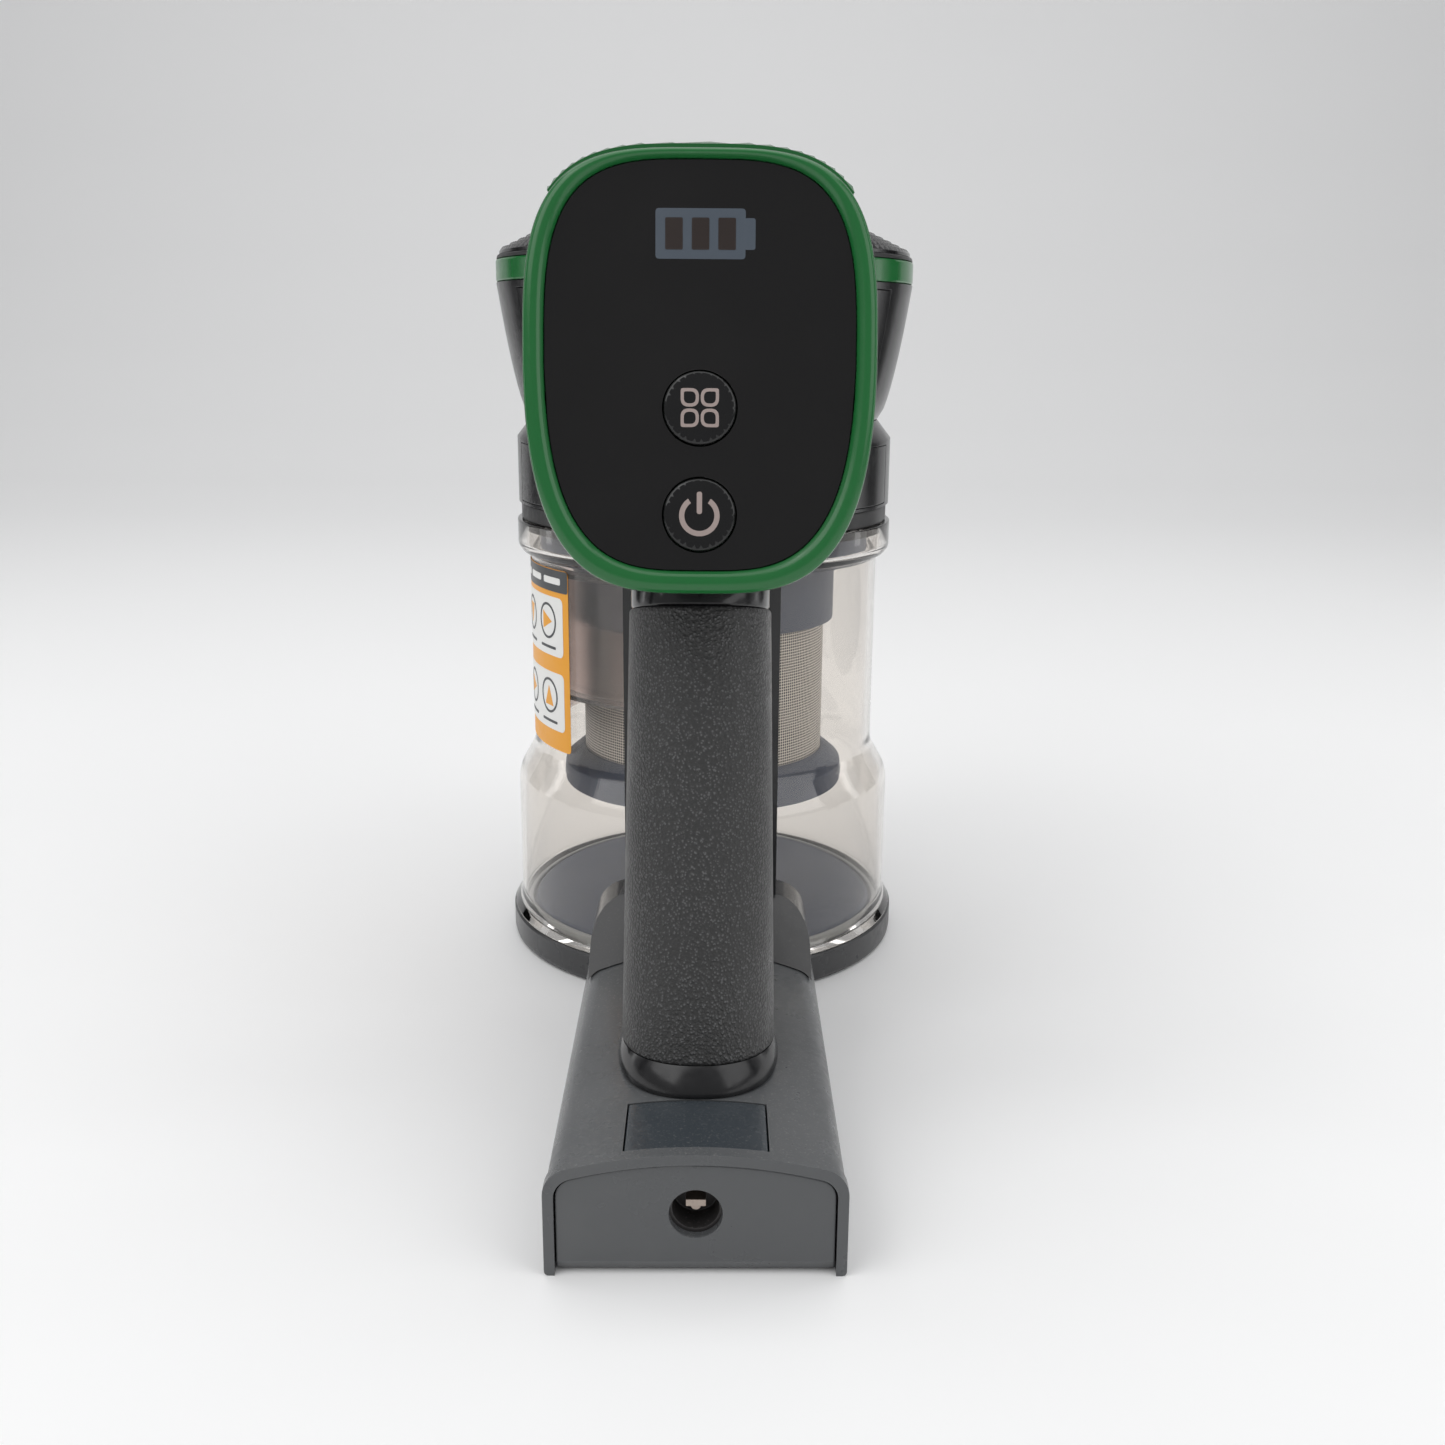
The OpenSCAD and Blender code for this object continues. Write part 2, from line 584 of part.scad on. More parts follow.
cap_inset = 0.6;
cap_t = 2.6;
cap_foot = 0.8;                        // height of the end cap's lower edge
jack_z = 15.7;
jack_depth = 9;
jack_front = pack_rear + cap_inset + cap_t + 0.1;
module battery_end_cap() color("#4a4e52") difference() {
    along_y(pack_rear + cap_inset, pack_rear + cap_inset + cap_t)
        polygon(pack_section(pack_w - 2 * rim_side - 0.7, pack_h - rim_top - 0.35, cap_foot, 0.6, 4.8));
    translate([0, pack_rear - 1, jack_z]) rotate([-90, 0, 0]) cylinder(h = 8, r = jack_r);
    along_x(pack_w) polygon([[pack_rear, 0], [pack_rear + 2.4, 0], [pack_rear, 4.6]]);
}

module dc_jack() color("#0c0c0d") translate([0, jack_front, jack_z]) rotate([-90, 0, 0]) difference() {
    cylinder(h = jack_depth, r = 7.1);
    translate([0, 0, -1]) cylinder(h = jack_depth - 1, r = jack_r - 0.7);
    translate([0, 0, 6]) cylinder(h = 10, r = 1.25);
}
module dc_contacts() color("gold") {
    translate([0, jack_front + 1, jack_z]) rotate([-90, 0, 0]) cylinder(h = jack_depth, r = 1.2);
    box([-2.3, pack_rear + 3.4, jack_z + 0.3], [2.3, jack_front + 6, jack_z + 2]);
}

cell_r = 9.1;
cell_pitch = 18.6;
module battery_cells() color("mediumseagreen")
    for (k = [0:5])
        translate([0, pack_front - 12.4 - k * cell_pitch, 11.4]) rotate([0, k % 2 == 0 ? 90 : -90, 0]) {
            translate([0, 0, -32.3]) cylinder(h = 63.6, r = cell_r);
            translate([0, 0, 31]) cylinder(h = 1.3, r = 3.2);
        }

// Protection board with its two raised terminals
module battery_board() color("darkgreen") {
    box([-11.5, -126, 20.8], [11.5, -78, 22.2]);
    for (k = [-1, 1]) box([k * 8.2 - 1.2, -90, 22.1], [k * 8.2 + 1.2, -79, 27.2]);
}

// ---------- dust cup ----------

foot_z = lid_h + 0.3;
cone_z = [59.6, 70.3];                 // where the wall steps in
collar_z = 137;

module cup_shell() color([0.85, 0.85, 0.88, 0.35]) difference() {
    revolve([[lid_r - 0.4, foot_z], [cup_lower_r + 0.5, 13.8], [cup_lower_r, 16], [cup_lower_r, cone_z[0]],
        [cup_upper_r, cone_z[1]], [cup_upper_r, collar_z], [collar_r - 1.4, collar_z + 1],
        [collar_r, collar_z + 3], [collar_r, cup_top_z], [collar_r - cup_wall, cup_top_z],
        [collar_r - cup_wall, collar_z + 3.4],
        [cup_upper_r - cup_wall, collar_z + 1.4], [cup_upper_r - cup_wall, cone_z[1] - 0.6],
        [cup_lower_r - cup_wall, cone_z[0] - 0.6], [cup_lower_r - cup_wall, foot_z]]);
    translate([0, 40, inlet_z]) rotate([-90, 0, 0]) cylinder(h = 40, r = inlet_duct_r + 0.1);
    box([-10.4, 60, foot_z - 1], [10.4, 72, foot_z + 3]);
}

module cup_seal() color("black") ring(collar_r - cup_wall - 0.1, 57.6, 145.6, cup_top_z - 0.1);

label_r = cup_upper_r + 0.02;
module cup_label() color("orange")
    translate([0, 0, 74]) rotate([0, 0, 165.5]) rotate_extrude(angle = 58)
        translate([label_r, 0]) square([0.18, 61]);

inlet_duct_r = 20;
tube_r = 20.5;
rib_z = inlet_z + 24.6;                // height of the contacts in the rib over the inlet
module inlet_tube() color("#26282b") difference() {
    union() {
        difference() {
            cylinder_y(0, inlet_z, inlet_duct_r, 50, 66);
            cylinder_z(cup_upper_r - cup_wall, 60, 140);
        }
        difference() {
            union() {
                cylinder_y(0, inlet_z, 25, 50, 65);
                cylinder_y(0, inlet_z, tube_r, 60, inlet_y);
                cylinder_y(0, inlet_z, tube_r + 1.8, inlet_y - 8, inlet_y);
                box([-7, 50, inlet_z + 15], [7, inlet_y - 2, rib_z + 3]);
            }
            cylinder_z(cup_upper_r + 0.1, 60, 140);
        }
    }
    cylinder_y(0, inlet_z, inlet_r - 1.5, 40, inlet_y);
    cylinder_y(0, inlet_z, inlet_r, inlet_y - 30, inlet_y + 1);
    for (sx = [-1, 1]) cylinder_y(sx * 3.4, rib_z, 1.6, inlet_y - 12, inlet_y);
}

guide_top = 134.2;

// The guide runs from the inlet round to the grip's side, where its lower part is cut back
module inlet_guide() color("#55504e") difference() {
    rotate([0, 0, 112]) rotate_extrude(angle = 150) polygon([[50.2, 75.6], [57.2, 75.6], [57.2, 77.2],
        [51.8, 77.2], [51.8, guide_top - 1.6], [57.2, guide_top - 1.6], [57.2, guide_top],
        [50.2, guide_top]]);
    rotate([0, 0, 174]) rotate_extrude(angle = 96) translate([48, 74]) square([12, 20]);
}

module inlet_contacts() color("gold")
    for (sx = [-1, 1]) cylinder_y(sx * 3.4, rib_z, 1.5, inlet_y - 12, inlet_y - 4);

// ---------- lid, hinge and latch ----------

hinge_y = -66.3;
hinge_z = 5;
hinge_pin_r = 1.5;
ear_x = [9.6, 13];

module hinge_bracket() color("#1c1d20") {
    for (sx = [-1, 1]) translate([sx * (ear_x[0] + ear_x[1]) / 2 - 1.7, hinge_y, hinge_z])
        rotate([0, 90, 0]) cylinder(h = 3.4, r = 2.6);
    translate([-ear_x[1] - 0.1, hinge_y, hinge_z]) rotate([0, 90, 0])
        cylinder(h = 2 * ear_x[1] + 0.2, r = hinge_pin_r);
    difference() {
        union() {
            box([-ear_x[1], hinge_y - 3.2, foot_z + 0.1], [ear_x[1], hinge_y + 2.6, 22]);
            for (sx = [-1, 1]) translate([sx * (ear_x[0] + ear_x[1]) / 2, hinge_y, 0])
                box([-1.7, -3.2, hinge_z], [1.7, 2.6, foot_z + 1]);
        }
        revolve([[0, foot_z - 0.2], [lid_r - 0.3, foot_z - 0.2], [cup_lower_r + 0.6, 13.9],
            [cup_lower_r + 0.1, 16], [cup_lower_r + 0.1, 30], [0, 30]]);
    }
}

module cup_lid() color("#3c4044") difference() {
    revolve([[0, 0], [lid_r - 1.6, 0], [lid_r - 0.3, 1], [lid_r, 2.4], [lid_r, lid_h - 0.6],
        [lid_r - 0.6, lid_h], [63, lid_h], [63, 5], [0, 5]]);
    for (sx = [-1, 1])
        box([sx > 0 ? 9 : -13.6, -75, 1.6], [sx > 0 ? 13.6 : -9, hinge_y + 3.2, 20]);
    translate([-20, hinge_y, hinge_z]) rotate([0, 90, 0]) cylinder(h = 40, r = hinge_pin_r + run);
    box([-9, -75, 8.2], [9, hinge_y + 3.2, 20]);
}

module lid_disc() color("#5a6272") revolve([[0, 5.1], [61, 5.1], [61, 10], [60, 13.2], [59, 14], [0, 14]]);
module lid_seal() color("#c8c8c8") ring(62.6, 61.1, 6, 13.4);

latch_y = 70.6;
latch_pivot_z = 24;
module lid_latch() color("#1c1d20") {
    difference() {
        along_x(14) polygon([[latch_y - 1.6, 3], [latch_y - 1.8, 5.4], [latch_y - 0.4, 7],
            [latch_y - 0.6, 20], [latch_y - 1, 35], [latch_y + 0.6, 37], [latch_y + 2.4, 36],
            [latch_y + 3, 24], [latch_y + 2, 3]]);
        translate([-20, latch_y + 0.9, latch_pivot_z]) rotate([0, 90, 0]) cylinder(h = 40, r = 1.2 + run);
    }
}
// Ears and pin that hold the latch on the cup
module latch_bracket() color("#1c1d20") {
    difference() {
        for (sx = [-1, 1])
            box([sx > 0 ? 7.4 : -9.8, 60, 19], [sx > 0 ? 9.8 : -7.4, latch_y + 3.2, 29]);
        cylinder_z(cup_lower_r + 0.05, 10, 40);
    }
    translate([-9.8, latch_y + 0.9, latch_pivot_z]) rotate([0, 90, 0]) cylinder(h = 19.6, r = 1.2);
}

// ---------- cyclone filter ----------

module filter_collar() color("#5a6272") revolve([[45.2, 114.6], [45.2, 136], [56.6, 138.6], [56.6, 148.4],
    [50, 148.4], [50, 141], [42.2, 137], [42.2, 114.6]]);
module mesh_screen() color("silver") ring(mesh_r, mesh_r - 0.6, 67.4, 116);
module filter_skirt() color("#5a6272") revolve([[0, skirt_z + 3], [46.6, skirt_z + 3], [47, skirt_z],
    [skirt_r, skirt_z], [skirt_r, skirt_z + 7.5], [mesh_r + 0.8, 68.6], [mesh_r + 0.1, 68.6],
    [mesh_r + 0.1, 67.2], [0, 67.2], [0, skirt_z + 5]]);
module hepa_filter() color("white") {
    pleats = 36;
    difference() {
        translate([0, 0, 84]) linear_extrude(56) polygon([for (i = [0:2 * pleats - 1])
            let (a = i * 180 / pleats, r = i % 2 == 0 ? 38 : 31) r * [cos(a), sin(a)]]);
        translate([0, 0, 80]) cylinder(h = 70, r = 26);
    }
    cylinder_z(38.6, 81, 84.1);
    ring(49.6, 26, 141.3, 144);
    ring(38.6, 26, 139.9, 141.4);
}

// ---------- cup release ----------

module cup_release() color("green") translate([0, 0, 166]) rotate([-90, 0, 0]) {
    translate([0, 0, housing_r - 5]) cylinder(h = 8, r = 6);
    translate([0, 0, housing_r - 7]) cylinder(h = 2.2, r = 5);
}

filter_housing();
housing_ring();
housing_rear_cover();
motor_housing();
motor_rear_cover();
accent_band();
cap_seat();
exhaust_filter();
motor_can();
motor_mount();
motor_board();
diffuser();
shaft_bearings();
pod_left();
pod_right();
top_cover();
display_bezel();
display_lens();
display_board();
tact_switches();
grip_left();
grip_right();
grip_sleeve();
grip_neck();
grip_collar();
spine_cover();
battery_dock();
dock_contacts();
wire_harness();
handle_screws();
rotor();
impeller();
top_cap();
power_button();
mode_button();
cup_release();
cup_shell();
cup_seal();
cup_label();
inlet_tube();
inlet_guide();
inlet_contacts();
hinge_bracket();
latch_bracket();
cup_lid();
lid_disc();
lid_seal();
lid_latch();
filter_collar();
mesh_screen();
filter_skirt();
hepa_filter();
battery_shell();
battery_end_cap();
dc_jack();
dc_contacts();
battery_cells();
battery_board();
battery_release();
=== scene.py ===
"""Looks of a cordless handheld cyclone vacuum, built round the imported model's fixed frame.

Every length is in metres and every place comes from the frame or from the sizes that the
sub-assemblies hold. The CAD nodes stay where they are. Curved shells are replaced by smooth,
edge-rounded pieces, and the patterned parts are modelled here.
"""

from __future__ import annotations

import json
import logging
import math
from collections.abc import Callable, Iterable, Sequence
from dataclasses import dataclass, field
from enum import Enum

import bmesh
import bpy
from mathutils import Matrix, Vector

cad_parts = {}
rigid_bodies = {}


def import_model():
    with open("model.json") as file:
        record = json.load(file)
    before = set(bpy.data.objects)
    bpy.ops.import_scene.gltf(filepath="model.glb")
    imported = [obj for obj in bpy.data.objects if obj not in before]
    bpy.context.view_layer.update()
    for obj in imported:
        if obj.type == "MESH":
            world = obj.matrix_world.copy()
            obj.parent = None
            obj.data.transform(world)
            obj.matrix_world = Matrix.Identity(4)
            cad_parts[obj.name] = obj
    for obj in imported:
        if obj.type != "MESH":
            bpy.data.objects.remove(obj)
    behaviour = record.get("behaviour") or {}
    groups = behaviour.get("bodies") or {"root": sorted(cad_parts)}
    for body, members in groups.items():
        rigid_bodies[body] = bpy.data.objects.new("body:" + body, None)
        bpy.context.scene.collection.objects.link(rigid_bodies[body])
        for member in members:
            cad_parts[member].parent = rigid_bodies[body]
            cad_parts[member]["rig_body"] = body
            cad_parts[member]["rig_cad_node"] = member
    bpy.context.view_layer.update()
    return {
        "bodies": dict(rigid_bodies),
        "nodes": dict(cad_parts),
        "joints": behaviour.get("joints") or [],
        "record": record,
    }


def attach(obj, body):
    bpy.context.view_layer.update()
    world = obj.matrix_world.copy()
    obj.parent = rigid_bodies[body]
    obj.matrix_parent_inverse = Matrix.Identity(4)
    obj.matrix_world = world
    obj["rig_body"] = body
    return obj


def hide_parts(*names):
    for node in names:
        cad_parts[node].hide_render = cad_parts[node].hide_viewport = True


LOG = logging.getLogger("vacuum")

MM = 0.001
SMOOTH_ANGLE = math.radians(28)
BEVEL_ANGLE = math.radians(40)
FLAT_ANGLE = math.radians(0.4)
MERGE_DISTANCE = 2e-6
RGB = tuple[float, float, float]
Place = Callable[[float, float], Vector]


class Body(str, Enum):
    """The moving bodies that a piece can ride on."""

    MAIN = "main_unit"
    CAP = "cap"
    POWER = "power_key"
    MODE = "mode_key"
    RELEASE = "release_key"
    CUP = "dust_cup"
    LID = "lid"
    LATCH = "latch"
    FILTER = "filter_set"
    BATTERY = "battery"
    BATTERY_KEY = "battery_key"


# ---------------------------------------------------------------- shader node groups


def feed(tree: bpy.types.NodeTree, slot: bpy.types.NodeSocket, value: object) -> None:
    """Link a socket to an input, or set the input to a plain value."""
    if isinstance(value, bpy.types.NodeSocket):
        tree.links.new(value, slot)
    else:
        slot.default_value = value


class Groups:
    """Shader node groups that several finishes share, each built once."""

    _made: dict[str, bpy.types.ShaderNodeTree] = {}

    @classmethod
    def get(cls, name: str) -> bpy.types.ShaderNodeTree:
        """Return a group by name, building it the first time.

        Args:
            name: One of the group names in the table below.

        Returns:
            The node group.
        """
        if name not in cls._made:
            makers = {
                "Moulded grain": cls._grain,
                "Handling marks": cls._marks,
                "Edge wear": cls._wear,
                "Settled dust": cls._dust,
                "Fine scratches": cls._scratches,
                "Speckle": cls._speckle,
            }
            tree = bpy.data.node_groups.new(name, "ShaderNodeTree")
            makers[name](tree)
            cls._made[name] = tree
        return cls._made[name]

    @staticmethod
    def _sockets(
        tree: bpy.types.ShaderNodeTree,
        inputs: Sequence[tuple[str, str, float | tuple[float, ...]]],
        outputs: Sequence[tuple[str, str]],
    ) -> tuple[bpy.types.Node, bpy.types.Node]:
        """Give a group its sockets and its input and output nodes.

        Args:
            tree: The group.
            inputs: Name, kind and default of each input.
            outputs: Name and kind of each output.

        Returns:
            The group's input and output nodes.
        """
        for name, kind, default in inputs:
            socket = tree.interface.new_socket(name, in_out="INPUT", socket_type=f"NodeSocket{kind}")
            socket.default_value = default
        for name, kind in outputs:
            tree.interface.new_socket(name, in_out="OUTPUT", socket_type=f"NodeSocket{kind}")
        return tree.nodes.new("NodeGroupInput"), tree.nodes.new("NodeGroupOutput")

    @staticmethod
    def _noise(
        tree: bpy.types.ShaderNodeTree, scale: float | None, detail: float, roughness: float = 0.5
    ) -> bpy.types.Node:
        """Add a noise on object coordinates.

        Args:
            tree: The group.
            scale: The noise's scale, or None where a link sets it.
            detail: How many octaves it has.
            roughness: How strong the fine octaves are.

        Returns:
            The noise node.
        """
        place = tree.nodes.new("ShaderNodeTexCoord")
        noise = tree.nodes.new("ShaderNodeTexNoise")
        noise.inputs["Detail"].default_value = detail
        noise.inputs["Roughness"].default_value = roughness
        if scale is not None:
            noise.inputs["Scale"].default_value = scale
        tree.links.new(place.outputs["Object"], noise.inputs["Vector"])
        return noise

    @staticmethod
    def _math(tree: bpy.types.ShaderNodeTree, kind: str, *values: object) -> bpy.types.NodeSocket:
        """Add a math node.

        Args:
            tree: The group.
            kind: The operation.
            *values: Sockets to link or numbers to set, in order.

        Returns:
            The result's socket.
        """
        node = tree.nodes.new("ShaderNodeMath")
        node.operation = kind
        for slot, value in zip(node.inputs, values):
            feed(tree, slot, value)
        return node.outputs[0]

    @staticmethod
    def _remap(
        tree: bpy.types.ShaderNodeTree, value: bpy.types.NodeSocket, low: float, high: float
    ) -> bpy.types.NodeSocket:
        """Stretch a value's stretch from low to high onto 0 to 1, smoothly.

        Args:
            tree: The group.
            value: The value to stretch.
            low: What becomes 0.
            high: What becomes 1.

        Returns:
            The stretched value's socket.
        """
        node = tree.nodes.new("ShaderNodeMapRange")
        node.interpolation_type = "SMOOTHSTEP"
        node.inputs["From Min"].default_value = low
        node.inputs["From Max"].default_value = high
        tree.links.new(value, node.inputs["Value"])
        return node.outputs["Result"]

    @staticmethod
    def _blend(
        tree: bpy.types.ShaderNodeTree, mask: bpy.types.NodeSocket, first: object, second: object
    ) -> bpy.types.NodeSocket:
        """Blend two colours by a mask.

        Args:
            tree: The group.
            mask: How much of the second colour shows.
            first: The colour where the mask is 0, a socket or a plain colour.
            second: The colour where the mask is 1.

        Returns:
            The blended colour's socket.
        """
        node = tree.nodes.new("ShaderNodeMix")
        node.data_type = "RGBA"
        tree.links.new(mask, node.inputs["Factor"])
        feed(tree, node.inputs["A"], first)
        feed(tree, node.inputs["B"], second)
        return node.outputs["Result"]

    @staticmethod
    def _bump(
        tree: bpy.types.ShaderNodeTree, height: bpy.types.NodeSocket, strength: object, depth: object
    ) -> bpy.types.Node:
        """Add a bump.

        Args:
            tree: The group.
            height: The surface's height.
            strength: How strong the bump is, a socket or a number.
            depth: How deep it is, in metres.

        Returns:
            The bump node.
        """
        node = tree.nodes.new("ShaderNodeBump")
        feed(tree, node.inputs["Strength"], strength)
        feed(tree, node.inputs["Distance"], depth)
        tree.links.new(height, node.inputs["Height"])
        return node

    @classmethod
    def _grain(cls, tree: bpy.types.ShaderNodeTree) -> None:
        """Build the fine bumps of a moulded surface: Normal."""
        inside, outside = cls._sockets(
            tree,
            [("Scale", "Float", 900.0), ("Strength", "Float", 0.2), ("Depth", "Float", 0.0001)],
            [("Normal", "Vector")],
        )
        fine = cls._noise(tree, None, 3.0, 0.6)
        tree.links.new(inside.outputs["Scale"], fine.inputs["Scale"])
        broad = cls._noise(tree, 55.0, 2.0)
        height = cls._math(tree, "MULTIPLY_ADD", broad.outputs["Fac"], 0.35, fine.outputs["Fac"])
        bump = cls._bump(tree, height, inside.outputs["Strength"], inside.outputs["Depth"])
        tree.links.new(bump.outputs["Normal"], outside.inputs["Normal"])

    @classmethod
    def _marks(cls, tree: bpy.types.ShaderNodeTree) -> None:
        """Build the smears and finger marks of a handled surface: Roughness."""
        inside, outside = cls._sockets(
            tree,
            [("Roughness", "Float", 0.3), ("Amount", "Float", 0.1), ("Scale", "Float", 18.0)],
            [("Roughness", "Float")],
        )
        patches = cls._noise(tree, None, 4.0, 0.62)
        tree.links.new(inside.outputs["Scale"], patches.inputs["Scale"])
        mask = cls._remap(tree, patches.outputs["Fac"], 0.42, 0.68)
        ridges = cls._noise(tree, 420.0, 1.0)
        ridged = cls._math(tree, "MULTIPLY", mask, cls._remap(tree, ridges.outputs["Fac"], 0.35, 0.6))
        both = cls._math(tree, "MULTIPLY_ADD", mask, 0.6, ridged)
        added = cls._math(tree, "MULTIPLY", both, inside.outputs["Amount"])
        total = cls._math(tree, "ADD", added, inside.outputs["Roughness"])
        tree.links.new(total, outside.inputs["Roughness"])

    @classmethod
    def _wear(cls, tree: bpy.types.ShaderNodeTree) -> None:
        """Build the paler, rubbed edges of a part: Color."""
        inside, outside = cls._sockets(
            tree,
            [
                ("Color", "Color", (0.1, 0.1, 0.1, 1.0)),
                ("Worn", "Color", (0.4, 0.4, 0.4, 1.0)),
                ("Width", "Float", 0.0006),
                ("Amount", "Float", 0.4),
            ],
            [("Color", "Color")],
        )
        rounded = tree.nodes.new("ShaderNodeBevel")
        rounded.samples = 4
        tree.links.new(inside.outputs["Width"], rounded.inputs["Radius"])
        face = tree.nodes.new("ShaderNodeNewGeometry")
        dot = tree.nodes.new("ShaderNodeVectorMath")
        dot.operation = "DOT_PRODUCT"
        tree.links.new(rounded.outputs["Normal"], dot.inputs[0])
        tree.links.new(face.outputs["Normal"], dot.inputs[1])
        edge = cls._remap(tree, cls._math(tree, "SUBTRACT", 1.0, dot.outputs["Value"]), 0.01, 0.12)
        broken = cls._noise(tree, 260.0, 3.0, 0.7)
        mask = cls._math(tree, "MULTIPLY", edge, cls._remap(tree, broken.outputs["Fac"], 0.4, 0.62))
        mask = cls._math(tree, "MULTIPLY", mask, inside.outputs["Amount"])
        mix = cls._blend(tree, mask, inside.outputs["Color"], inside.outputs["Worn"])
        tree.links.new(mix, outside.inputs["Color"])

    @classmethod
    def _dust(cls, tree: bpy.types.ShaderNodeTree) -> None:
        """Build the pale dust that lies on level surfaces: Color."""
        inside, outside = cls._sockets(
            tree,
            [
                ("Color", "Color", (0.1, 0.1, 0.1, 1.0)),
                ("Dust", "Color", (0.5, 0.48, 0.45, 1.0)),
                ("Amount", "Float", 0.1),
            ],
            [("Color", "Color")],
        )
        face = tree.nodes.new("ShaderNodeNewGeometry")
        split = tree.nodes.new("ShaderNodeSeparateXYZ")
        tree.links.new(face.outputs["Normal"], split.inputs["Vector"])
        level = cls._remap(tree, split.outputs["Z"], 0.55, 1.0)
        specks = cls._noise(tree, 1500.0, 2.0, 0.7)
        cloud = cls._noise(tree, 40.0, 3.0)
        mask = cls._math(tree, "MULTIPLY", cls._remap(tree, specks.outputs["Fac"], 0.55, 0.75), level)
        mask = cls._math(tree, "MULTIPLY_ADD", cls._remap(tree, cloud.outputs["Fac"], 0.4, 0.8), 0.12, mask)
        mask = cls._math(tree, "MULTIPLY", mask, inside.outputs["Amount"])
        mix = cls._blend(tree, mask, inside.outputs["Color"], inside.outputs["Dust"])
        tree.links.new(mix, outside.inputs["Color"])

    @classmethod
    def _scratches(cls, tree: bpy.types.ShaderNodeTree) -> None:
        """Build faint scratches that run round a clear or metal part: Normal."""
        inside, outside = cls._sockets(
            tree,
            [("Strength", "Float", 0.1), ("Depth", "Float", 0.00005), ("Along", "Float", 900.0)],
            [("Normal", "Vector")],
        )
        place = tree.nodes.new("ShaderNodeTexCoord")
        stretch = tree.nodes.new("ShaderNodeCombineXYZ")
        stretch.inputs["X"].default_value = 60.0
        stretch.inputs["Y"].default_value = 60.0
        tree.links.new(inside.outputs["Along"], stretch.inputs["Z"])
        scaled = tree.nodes.new("ShaderNodeVectorMath")
        scaled.operation = "MULTIPLY"
        tree.links.new(place.outputs["Object"], scaled.inputs[0])
        tree.links.new(stretch.outputs["Vector"], scaled.inputs[1])
        lines = tree.nodes.new("ShaderNodeTexNoise")
        lines.inputs["Scale"].default_value = 1.0
        lines.inputs["Detail"].default_value = 4.0
        tree.links.new(scaled.outputs["Vector"], lines.inputs["Vector"])
        bump = cls._bump(tree, lines.outputs["Fac"], inside.outputs["Strength"], inside.outputs["Depth"])
        tree.links.new(bump.outputs["Normal"], outside.inputs["Normal"])

    @classmethod
    def _speckle(cls, tree: bpy.types.ShaderNodeTree) -> None:
        """Build the stipple of a spark-eroded grip, with a paler painted glint on its tips: Color and
        Normal.
        """
        inside, outside = cls._sockets(
            tree,
            [
                ("Color", "Color", (0.05, 0.05, 0.05, 1.0)),
                ("Tip", "Color", (0.2, 0.2, 0.2, 1.0)),
                ("Scale", "Float", 1100.0),
                ("Depth", "Float", 0.00025),
            ],
            [("Color", "Color"), ("Normal", "Vector")],
        )
        place = tree.nodes.new("ShaderNodeTexCoord")
        cells = tree.nodes.new("ShaderNodeTexVoronoi")
        tree.links.new(place.outputs["Object"], cells.inputs["Vector"])
        tree.links.new(inside.outputs["Scale"], cells.inputs["Scale"])
        noise = cls._noise(tree, None, 2.0, 0.7)
        tree.links.new(inside.outputs["Scale"], noise.inputs["Scale"])
        peaks = cls._math(tree, "SUBTRACT", noise.outputs["Fac"], cells.outputs["Distance"])
        # The peaks get the paler colour, a painted glint on the stipple's tips.
        mask = cls._remap(tree, peaks, 0.05, 0.42)
        mix = cls._blend(tree, mask, inside.outputs["Color"], inside.outputs["Tip"])
        bump = cls._bump(tree, peaks, 0.9, inside.outputs["Depth"])
        tree.links.new(mix, outside.inputs["Color"])
        tree.links.new(bump.outputs["Normal"], outside.inputs["Normal"])


# ---------------------------------------------------------------- finishes


def rgba(colour: RGB) -> tuple[float, float, float, float]:
    """Return a linear colour with full alpha."""
    return (*colour, 1.0)


def new_material(name: str) -> tuple[bpy.types.Material, bpy.types.NodeTree, bpy.types.Node]:
    """Start a material with a Principled shader.

    Args:
        name: The material's name.

    Returns:
        The material, its node tree and its Principled node.
    """
    material = bpy.data.materials.new(name)
    material.use_nodes = True
    tree = material.node_tree
    return material, tree, tree.nodes["Principled BSDF"]


def place_group(tree: bpy.types.NodeTree, name: str, **values: object) -> bpy.types.Node:
    """Place a shared group in a material.

    Args:
        tree: The material's tree.
        name: The group's name.
        **values: Input values by name, with spaces as underscores. Sockets are linked.

    Returns:
        The group's node.
    """
    node = tree.nodes.new("ShaderNodeGroup")
    node.node_tree = Groups.get(name)
    for key, value in values.items():
        feed(tree, node.inputs[key.replace("_", " ")], value)
    return node


@dataclass(frozen=True)
class Plastic:
    """A moulded plastic, glossy or satin, with grain, handling marks, worn edges and dust."""

    name: str
    colour: RGB
    roughness: float = 0.3
    marks: float = 0.08
    grain: float = 0.06
    grain_scale: float = 900.0
    wear: float = 0.35
    dust: float = 0.15
    coat: float = 0.0
    edge: float = 0.0006

    def make(self) -> bpy.types.Material:
        """Build the material."""
        material, tree, shader = new_material(self.name)
        kept, added = 0.55, 0.16
        pale = tuple(kept * c + added for c in self.colour)
        worn = place_group(
            tree, "Edge wear", Color=rgba(self.colour), Worn=rgba(pale), Width=self.edge, Amount=self.wear
        )
        dusty = place_group(tree, "Settled dust", Color=worn.outputs["Color"], Amount=self.dust)
        marks = place_group(tree, "Handling marks", Roughness=self.roughness, Amount=self.marks)
        grain = place_group(tree, "Moulded grain", Scale=self.grain_scale, Strength=self.grain)
        tree.links.new(dusty.outputs["Color"], shader.inputs["Base Color"])
        tree.links.new(marks.outputs["Roughness"], shader.inputs["Roughness"])
        tree.links.new(grain.outputs["Normal"], shader.inputs["Normal"])
        shader.inputs["Coat Weight"].default_value = self.coat
        shader.inputs["Coat Roughness"].default_value = 0.06
        return material


